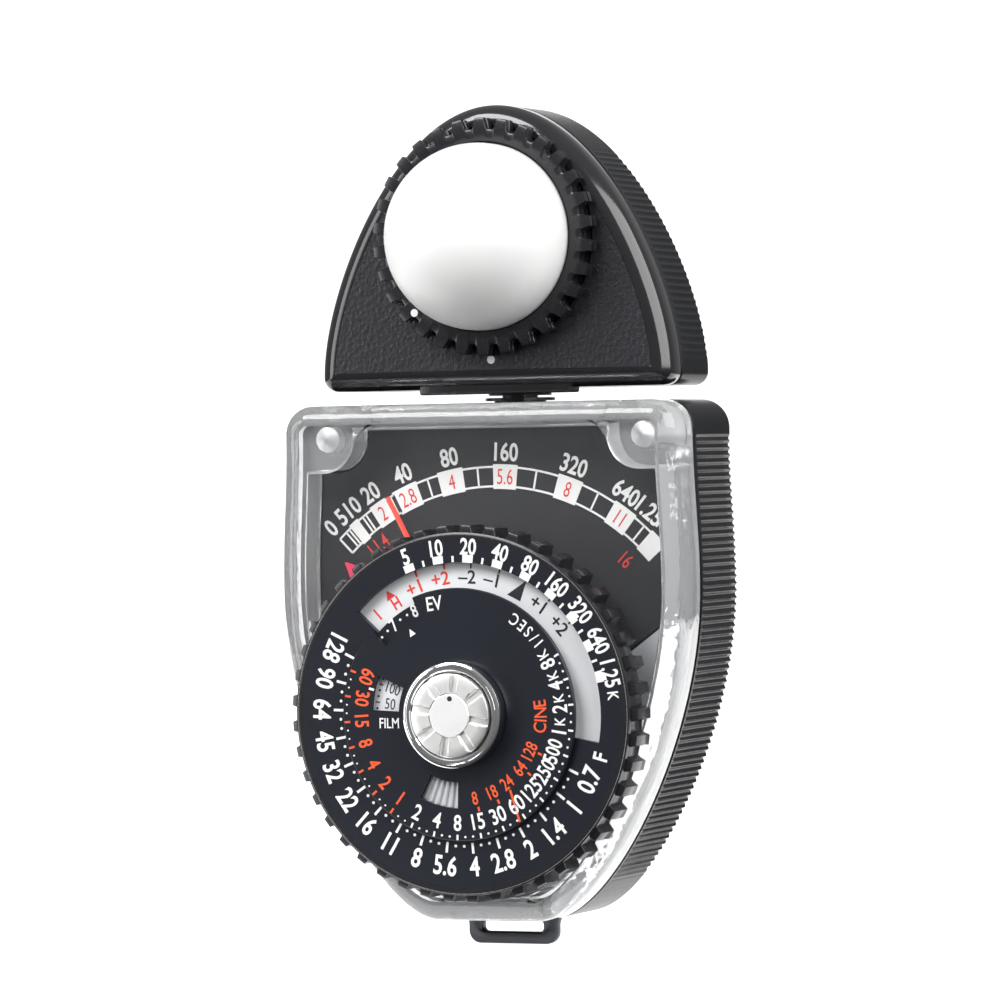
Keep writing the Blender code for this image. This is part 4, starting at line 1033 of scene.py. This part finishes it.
class Ink:
    def __init__(self, name, finish, body, face):
        self.name, self.finish, self.body, self.face = name, finish, body, face
        self.bm = bmesh.new()

    def text(self, words, x, z, size, turn=0.0, squeeze=0.8, bold=0.012):
        mesh = figure_mesh(words, bold)
        xs = [v.co.x for v in mesh.vertices]
        ys = [v.co.y for v in mesh.vertices]
        mx, my = (max(xs) + min(xs)) / 2, (max(ys) + min(ys)) / 2
        centre = Matrix.Translation((-mx, -my, 0))
        scale = Matrix.Diagonal((size / FIGURE * squeeze, size / FIGURE, INK, 1))
        stand = Matrix.Rotation(math.radians(90), 4, "X")
        spin = Matrix.Rotation(-math.radians(turn), 4, "Y")
        place = Matrix.Translation((x, self.face - INK / 2, z))
        mesh.transform(place @ spin @ stand @ scale @ centre)
        self.bm.from_mesh(mesh)
        bpy.data.meshes.remove(mesh)
        return self

    def around(self, words, radius, degrees, size, inward=True, **look):
        """Text on a radius, its top towards the axis (or away from it)."""
        return self.text(words, *polar(radius, degrees), size,
                         degrees + (90 if inward else -90), **look)

    def shape(self, loop):
        loft([at(np.array(loop), self.face), at(np.array(loop), self.face - INK)], into=self.bm)
        return self

    def bar(self, inner, outer, degrees, width):
        """A tick along a radius."""
        (x0, z0), (x1, z1) = polar(inner, degrees), polar(outer, degrees)
        return self.line(x0, z0, x1, z1, width)

    def line(self, x0, z0, x1, z1, width):
        long = math.hypot(x1 - x0, z1 - z0)
        sx, sz = -(z1 - z0) / long * width / 2, (x1 - x0) / long * width / 2
        return self.shape([(x0 - sx, z0 - sz), (x1 - sx, z1 - sz),
                           (x1 + sx, z1 + sz), (x0 + sx, z0 + sz)])

    def dot(self, radius, degrees, size):
        x, z = polar(radius, degrees)
        return self.shape(arc(x, z, size, 0, 360, 13)[:-1])

    def sector(self, inner, outer, start, end, count=24):
        rim = arc(0, DIAL_Z, outer, start, end, count)
        back = arc(0, DIAL_Z, inner, end, start, count)
        return self.shape(np.vstack([rim, back]))

    def arrow(self, radius, degrees, height, width):
        """A triangle whose tip points away from the axis."""
        tip = polar(radius + height / 2, degrees)
        spread = math.degrees(width / 2 / radius)
        base = radius - height / 2
        return self.shape([tip, polar(base, degrees + spread), polar(base, degrees - spread)])

    def done(self):
        bmesh.ops.remove_doubles(self.bm, verts=self.bm.verts, dist=1e-5)
        item = make(self.name, self.bm, self.finish, self.body)
        print(self.name, len(item.data.polygons), "faces")
        return item


# %% [markdown]
# The outer dial carries the aperture numbers, one stop every 12 degrees, with a tick at
# each number and two dots between, and the light numbers round its arc window.

# %% Print on the outer dial
STOP = 12.05
APERTURES = "0.7 1 1.4 2 2.8 4 5.6 8 11 16 22 32 45 64 90 128".split()
FIRST_APERTURE = -25.0
LIGHTS = "5 10 20 40 80 160 320 640 1.25".split()
FIRST_LIGHT, LIGHT_STEP = 110.0, 12.0
VALUE_STEP = 13.5
white = Ink("dial_figures", ink_white, "outer_dial", dial.front)
for number, words in enumerate(APERTURES):
    here = FIRST_APERTURE - STOP * number
    white.around(words, 20.0, here, 2.5, squeeze=0.78, bold=0.02)
    white.bar(16.9, 18.3, here, 0.34)
    if number < len(APERTURES) - 1:
        for third in (1, 2):
            white.dot(17.3, here - STOP * third / 3, 0.2)
white.around("F", 20.5, -15.5, 2.0, squeeze=0.85, bold=0.02)
for number, words in enumerate(LIGHTS):
    here = FIRST_LIGHT - LIGHT_STEP * number
    white.around(words, 22.0, here, 2.1, inward=False, squeeze=0.78, bold=0.02)
    spread = math.degrees(0.72 / WINDOW_OUT)
    white.sector(WINDOW_OUT, WINDOW_OUT + 1.0, here - spread, here + spread, 4)
    if number < len(LIGHTS) - 1:
        white.bar(WINDOW_OUT + 0.05, WINDOW_OUT + 0.85, here - LIGHT_STEP / 2, 0.3)
white.around("K", 21.8, FIRST_LIGHT - LIGHT_STEP * 8 - 7.6, 1.5, inward=False, bold=0.015)
for value in range(1, 25):
    here = 128.6 - VALUE_STEP * (value - 7)
    white.around(str(value), 15.0, here, 1.7, inward=False, squeeze=0.75, bold=0.015)
    for third in (-1, 1):
        white.dot(15.0, here + third * VALUE_STEP / 3, 0.17)
white.done()


# %% Print on the film disc
red = Ink("index_red", ink_red, "iso_disc", flange_y)
black = Ink("index_black", ink_black, "iso_disc", flange_y)
STEPS = [(red, "+1", 17.9, 112.6), (red, "+2", 18.0, 99.8), (black, "–2", 18.0, 87.6),
         (black, "–1", 18.1, 76.6), (black, "+1", 18.0, 53.0), (black, "+2", 18.0, 40.1)]
red.around("1", 17.9, 133.0, 1.7, inward=False, bold=0.015)
red.arrow(18.9, 123.8, 1.2, 1.5)
red.around("H", 17.4, 123.0, 1.6, inward=False, bold=0.02)
for ink, words, radius, here in STEPS:
    ink.around(words, radius, here, 1.75, inward=False, squeeze=1.0, bold=0.012)
for here in (109.6, 97.3):
    red.bar(19.1, 21.0, here, 0.3)
for here in (86.0, 73.8, 50.0, 38.0):
    black.bar(19.1, 21.0, here, 0.22)
black.shape([polar(19.7, 62.0), polar(16.9, 67.5), polar(16.9, 60.6)])
red.done()
black.done()

FILM_STEP = 11.5
speeds = Ink("film_speeds", ink_black, "iso_disc", hub_y)
for number, words in enumerate("6 12 25 50 100 200 400 800 1600 3200".split()):
    here = 161.0 - FILM_STEP * (number - 4)
    speeds.text(words, *polar(10.2, here), 1.45, here - 180, squeeze=0.75, bold=0.0)
    speeds.bar(11.7, 12.3, here, 0.16)
    for third in (1, 2):
        speeds.dot(12.0, here + FILM_STEP * third / 3, 0.16)
speeds.done()


# %% [markdown]
# The centre disc stands still. Fractions of a second are white, whole seconds and cine
# frame rates are orange, and all of their figures have their tops towards the button.

# %% Print on the centre disc
TIMES = "2 4 8 15 30 60 125 250 500 1k 2k 4k 8k".split()
SECONDS = "1 2 4 8 15 30 60".split()
CINE = [("8", -78.6), ("18", -65.0), ("24", -52.4), ("64", -38.8), ("128", -25.0)]
FIRST_TIME, TIME_STEP, SECOND_STEP = -115.3, 12.0, 12.2
time_white = Ink("time_figures", ink_white, "case", shutter.front)
time_orange = Ink("seconds_figures", ink_orange, "case", shutter.front)
for number, words in enumerate(TIMES):
    here = FIRST_TIME + TIME_STEP * number
    small = 0.72 if len(words) > 2 else 0.8
    reach = 14.2 if number < 9 else 14.5
    if words.endswith("k"):
        time_white.around(words[:-1], reach, here - 1.6, 2.05, squeeze=0.8, bold=0.015)
        time_white.around("K", reach, here + 4.0, 1.45, squeeze=0.8, bold=0.012)
    else:
        time_white.around(words, reach, here, 2.05, squeeze=small, bold=0.015)
    time_white.bar(15.75, 16.45, here, 0.26)
    if number < len(TIMES) - 1:
        for third in (1, 2):
            time_white.dot(16.05, here + 4.0 * third, 0.15)
for number, words in enumerate(SECONDS):
    here = FIRST_TIME - SECOND_STEP * (number + 1)
    time_orange.around(words, 13.9, here, 1.95, squeeze=0.76, bold=0.018)
    time_orange.bar(15.6, 16.4, here, 0.28)
    for third in (1, 2):
        time_white.dot(16.05, here + 4.0 * third, 0.12)
for words, here in CINE:
    time_orange.around(words, 11.15, here, 1.7, squeeze=0.72, bold=0.012)
    if words != "24":
        time_orange.bar(12.35, 12.95, here + 1.2, 0.28)
time_orange.line(*polar(12.2, -53.5), *polar(16.4, -58.5), 0.3)
for letter, here in zip("CINE", (-8.2, -3.6, 1.4, 7.2)):
    time_orange.around(letter, 11.75, here, 1.75, squeeze=0.82, bold=0.01)
for letter, here in zip("1/SEC", (38.4, 42.2, 46.6, 51.2, 56.2)):
    time_white.around(letter, 14.9, here, 1.55, squeeze=0.8, bold=0.008)
time_white.text("EV", *polar(14.9, 102.0), 1.85, 8.0, squeeze=0.8, bold=0.01)
time_white.arrow(12.6, 121.0, 0.95, 0.95)
time_white.text("FILM", -9.9, DIAL_Z - 1.15, 1.35, 0.0, squeeze=0.78, bold=0.006)
time_white.bar(12.45, 13.2, 165.0, 0.3)
time_white.done()
time_orange.done()


# %% [markdown]
# The scale plate shows the light value under the needle: a band of boxes on an arc, light
# numbers outside it, and apertures in red inside. The maker's line at the top of such a
# plate is left blank here.

# %% Print on the scale plate
BAND_IN, BAND_OUT, BAND_FROM, BAND_TO = 29.7, 32.3, 43.0, 134.9
BAND_MID = 31.0
BOXES = [("", 129.6, 1.5), ("2", 121.9, 2.5), ("2.8", 114.0, 3.7), ("4", 101.5, 3.6),
         ("5.6", 87.1, 3.4), ("8", 70.1, 3.5), ("11", 54.6, 3.4), ("", 44.0, 2.6)]
DIVIDERS = [132.6, 131.6, 126.9, 125.9, 118.2, 117.2, 107.6, 94.3, 79.0, 62.4, 48.5]
SCALE_NUMBERS = [("0", 134.6), ("5", 131.1), ("10", 127.4), ("20", 122.0), ("40", 113.0),
                 ("80", 101.0), ("160", 87.0), ("320", 70.3), ("640", 56.5), ("1.25", 49.6)]
scale_white = Ink("scale_figures", ink_white, "case", plate.front)
scale_red = Ink("scale_apertures", ink_red, "case", plate.front - INK)
stops = [BAND_TO]
for words, here, wide in BOXES:
    spread = math.degrees(wide / 2 / BAND_MID)
    stops += [here + spread, here - spread]
    scale_white.sector(BAND_IN - 0.35, BAND_OUT + 0.35, here - spread, here + spread, 6)
    if words:
        scale_red.around(words, BAND_MID, here, 2.1, inward=False, squeeze=0.66, bold=-0.004)
stops.append(BAND_FROM)
for start, end in zip(stops[::2], stops[1::2]):
    if start - end > 0.1:
        for radius in (BAND_IN, BAND_OUT):
            scale_white.sector(radius - 0.14, radius + 0.14, end, start)
scale_white.bar(BAND_IN, BAND_OUT, BAND_TO, 0.3)
for here in DIVIDERS:
    scale_white.bar(BAND_IN, BAND_OUT, here, 0.26)
for words, here in SCALE_NUMBERS:
    scale_white.around(words, 34.3, here, 2.35, inward=False, squeeze=0.78, bold=0.022)
scale_white.around("K", 34.2, 45.4, 1.7, inward=False, squeeze=0.78, bold=0.015)
for words, here in (("1", 130.5), ("1.4", 126.5), ("16", 46.5)):
    scale_red.around(words, 27.9 if here > 90 else 27.2, here, 2.0, inward=False, squeeze=0.66,
                     bold=0.004)
scale_white.done()
scale_red.done()


# %% [markdown]
# ## Needle and memo pointer
# The needle is a thin painted blade on a hub, and the memo pointer a small bright triangle.
# Both get a slight crown, so that they catch a line of light instead of looking like paper.

# %% Needle and pointer
needle, memo = Span("needle"), Span("memo_pointer")


def rest_angle(node, beyond):
    """The angle of a CAD blade about the dial axis, from its furthest points."""
    spots = np.array([v.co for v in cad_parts[node].data.vertices]) / MM
    x, z = spots[:, 0], spots[:, 2] - DIAL_Z
    far = np.hypot(x, z) > beyond
    return math.degrees(math.atan2(z[far].mean(), x[far].mean()))


def blade(stations, degrees, front, back):
    """A crowned strip along a radius from (radius, half width) stations."""
    a = math.radians(degrees)
    crown = [(-1, back), (-1, front + 0.1), (0, front), (1, front + 0.1), (1, back)]
    rows = []
    for radius, half in stations:
        x, z = polar(radius, degrees)
        rows.append([(x - way * math.sin(a) * half, y, z + way * math.cos(a) * half)
                     for way, y in crown])
    return loft(rows)


NEEDLE_STATIONS = [(6.5, 0.45), (20, 0.38), (31.4, 0.31), (32.1, 0.26)]
MEMO_STATIONS = [(15.9, 1.05), (25.7, 1.1), (26.1, 1.65), (29.25, 0.05)]
needle_turn, memo_turn = rest_angle("needle", 30.5), rest_angle("memo_pointer", 26.8)
hub = arc(0, DIAL_Z, 7.0, 0, 360, 73)[:-1]
hub_rings = [at(hub, needle.back), at(hub, needle.front + 0.05), at(inset(hub, 0.1), needle.front)]
make("needle_hub", loft(hub_rings), needle_red, "needle", ("needle",))
make("needle_blade", blade(NEEDLE_STATIONS, needle_turn, needle.front, needle.back), needle_red,
     "needle")
make("memo_arrow", blade(MEMO_STATIONS, memo_turn, memo.front, memo.back), memo_red,
     "memo_pointer", ("memo_pointer",))
print(f"needle at {needle_turn:.1f}, memo pointer at {memo_turn:.1f} degrees")


# %% [markdown]
# ## Button and bezel
# The button is a turned cap with eight milled grooves round a flat middle. Its raised
# fields are blasted and its middle is smooth. The bezel round it is polished to a mirror.

# %% Button and bezel
BEZEL_INNER, BEZEL_SEAT = 5.8, 3.6
CROWN = [(5.8, 0.12), (5.95, 0.0), (6.35, 0.0), (6.42, 0.12), (6.5, 0.14), (6.56, 0.05),
         (6.7, 0.06), (6.9, 0.2), (6.98, 0.45)]
profile = [(r, bezel.front + step) for r, step in CROWN]
profile += [(7.0, bezel.back - 0.15), (6.9, bezel.back), (BEZEL_SEAT, bezel.back),
            (BEZEL_SEAT, bezel.front + 1.4), (BEZEL_INNER, bezel.front + 1.4)]
make("bezel", turned(profile, DIAL_Z, 128), chrome, "case", ("button_guard_ring",), 35)

FLAT, GROOVE_HALF, GROOVE_DEEP, GROOVE_WALL = 2.85, 0.42, 0.38, 0.12
GROOVES, FIRST_GROOVE, AROUND = 8, 35, 720
FIELD_R = FLAT + 0.06
field_rings = [(FIELD_R, 0.0), (4.2, 0.0), (cap.half - 0.25, 0.0), (cap.half - 0.06, 0.06)]
groove_turns = [FIRST_GROOVE + 360 / GROOVES * k for k in range(GROOVES)]


def sunk(radius, a):
    """How deep the nearest groove is at this radius and angle."""
    nearest = min(abs((math.degrees(a) - turn + 180) % 360 - 180) for turn in groove_turns)
    across = radius * math.sin(math.radians(min(nearest, 89)))
    return GROOVE_DEEP * min(1.0, max(0.0, (GROOVE_HALF + 0.1 - across) / GROOVE_WALL))


rows = []
for a in (2 * math.pi * i / AROUND for i in range(AROUND)):
    line = [(r, cap.front + step + sunk(r, a)) for r, step in field_rings]
    line += [(cap.half, cap.front + max(0.25, sunk(cap.half, a))), (cap.half, cap.back),
             (FIELD_R, cap.back)]
    rows.append([(r * math.cos(a), y, DIAL_Z + r * math.sin(a)) for r, y in line])
make("button_fields", loft(rows, closed=True), blasted, "button", ("button_cap",),
     25)
middle_back = cap.front + 0.4
profile = [(0.0, cap.front), (FLAT - 0.12, cap.front), (FLAT, cap.front + 0.1),
           (FLAT, middle_back), (0.0, middle_back)]
make("button_middle", turned(profile, DIAL_Z, 96, closed=False), satin, "button")
make("button_dot", disc(0.12, DIAL_Z + 2.2, 0.34, cap.front + 0.01, 0.03), ink_black, "button")
print("button made")


# %% [markdown]
# ## Back of the case
# A knurled knob sets the memo pointer, and a slotted screw in its middle sets the needle's
# zero. A white line on the knob shows where the pointer is.

# %% Knob
knob_top = knob.back - 0.04
knob_teeth = bitten(knob.half, 0.45, 24, 0.5, DIAL_Z, 16, power=3)


def knob_circle(radius):
    return circle_like(knob_teeth, radius, DIAL_Z)


def knob_shrunk(by):
    return shrunk(knob_teeth, DIAL_Z, by)


bore_line = knob_circle(2.35)
rings = [at(bore_line, knob.front + 0.1), at(knob_circle(8.2), knob.front),
         at(knob_shrunk(0.2), knob.front), at(knob_teeth, knob.front + 0.2)]
top_steps = [(knob_teeth, 0.4), (knob_shrunk(0.12), 0.12), (knob_shrunk(0.4), 0.0),
             (knob_circle(6.6), 0.0), (knob_circle(6.4), 0.25), (knob_circle(3.6), 0.25),
             (knob_circle(3.4), 0.05), (knob_circle(2.6), 0.05), (bore_line, 0.3)]
rings += [at(loop, knob_top - step) for loop, step in top_steps]
make("memo_knob_grip", loft(rings, closed=True), grip_black, "memo_pointer", ("memo_knob",),
     35)
mark = Ink("memo_mark", ink_white, "memo_pointer", knob_top + INK)
mark.line(*polar(6.8, memo_turn), *polar(8.3, memo_turn), 0.5)
mark.done()


# %% [markdown]
# ## Studio
# The room is white only in line with the lens, behind the meter, and dim all round it, so
# that the black parts stay black. A strip of white paper lies below. A large soft key hangs
# above the front, a weak one fills from the left, and a wide softbox on the right draws the
# long highlight on the head's rim.

# %% Floor, lights and world
scene = bpy.context.scene
scene.view_settings.view_transform = "Standard"
FLOOR_Z = cad_box[0].z / MM - 0.3


def paper_floor(near, far, half):
    """A strip of glowing white paper under the meter, running away from the lens."""
    away = Vector((-math.sin(VIEW_AZIMUTH), math.cos(VIEW_AZIMUTH), 0))
    across = Vector((away.y, -away.x, 0))
    level = Vector((0, 0, FLOOR_Z))
    bm = bmesh.new()
    corners = [(near, -half), (near, half), (far, half), (far, -half)]
    bm.faces.new([bm.verts.new((away * v + across * u + level) * MM) for v, u in corners])
    mesh = bpy.data.meshes.new("paper_floor")
    bm.to_mesh(mesh)
    bm.free()
    paper = Finish("paper", (0.8, 0.8, 0.8), 0.9, Emission_Color=(1, 1, 1, 1),
                   Emission_Strength=1.0)
    paper.relief(paper.noise(2.0), 0.02)
    mesh.materials.append(paper.material)
    item = bpy.data.objects.new("paper_floor", mesh)
    bpy.context.scene.collection.objects.link(item)


def softbox(name, place, size, power):
    """A rectangular light that looks at the middle of the meter."""
    lamp = bpy.data.lights.new(name, "AREA")
    lamp.shape, lamp.size, lamp.size_y = "RECTANGLE", size[0] * MM, size[1] * MM
    lamp.energy = power
    item = bpy.data.objects.new(name, lamp)
    item.location = Vector(place) * MM
    item.rotation_mode = "QUATERNION"
    item.rotation_quaternion = (-Vector(place)).to_track_quat("-Z", "Y")
    bpy.context.scene.collection.objects.link(item)


paper_floor(-20.0, 3000.0, 300.0)
softbox("key_above", (-200, -420, 450), (380, 300), 4.2)
softbox("left_fill", (-520, -420, 60), (260, 500), 1.6)
softbox("strip_right", (440, -130, 230), (600, 420), 4.0)

world = bpy.data.worlds.new("studio")
world.use_nodes = True
scene.world = world
nodes, links = world.node_tree.nodes, world.node_tree.links
sky = nodes["Background"]
way, split, facing, total = (nodes.new(f"ShaderNode{kind}") for kind in
                             ("TexCoord", "SeparateXYZ", "VectorMath", "Math"))
facing.operation = "DOT_PRODUCT"
facing.inputs[1].default_value = (-math.sin(VIEW_AZIMUTH), math.cos(VIEW_AZIMUTH), 0.0)


def ranged(socket, low, high, darkest, brightest):
    """The socket's value, moved from one range to another and held inside it."""
    ramp = nodes.new("ShaderNodeMapRange")
    links.new(socket, ramp.inputs["Value"])
    for name, value in (("From Min", low), ("From Max", high),
                        ("To Min", darkest), ("To Max", brightest)):
        ramp.inputs[name].default_value = value
    return ramp.outputs[0]


links.new(way.outputs["Generated"], split.inputs[0])
links.new(way.outputs["Generated"], facing.inputs[0])
links.new(ranged(split.outputs["Z"], -0.6, 0.9, 0.06, 0.45), total.inputs[0])
links.new(ranged(facing.outputs["Value"], 0.93, 0.975, 0.0, 1.1), total.inputs[1])
links.new(total.outputs[0], sky.inputs["Strength"])
sky.inputs["Color"].default_value = (1, 1, 1, 1)
print("floor, lights and world set")


# %% Print the size of the CAD box
print("CAD box", [tuple(round(v, 4) for v in c) for c in cad_box])
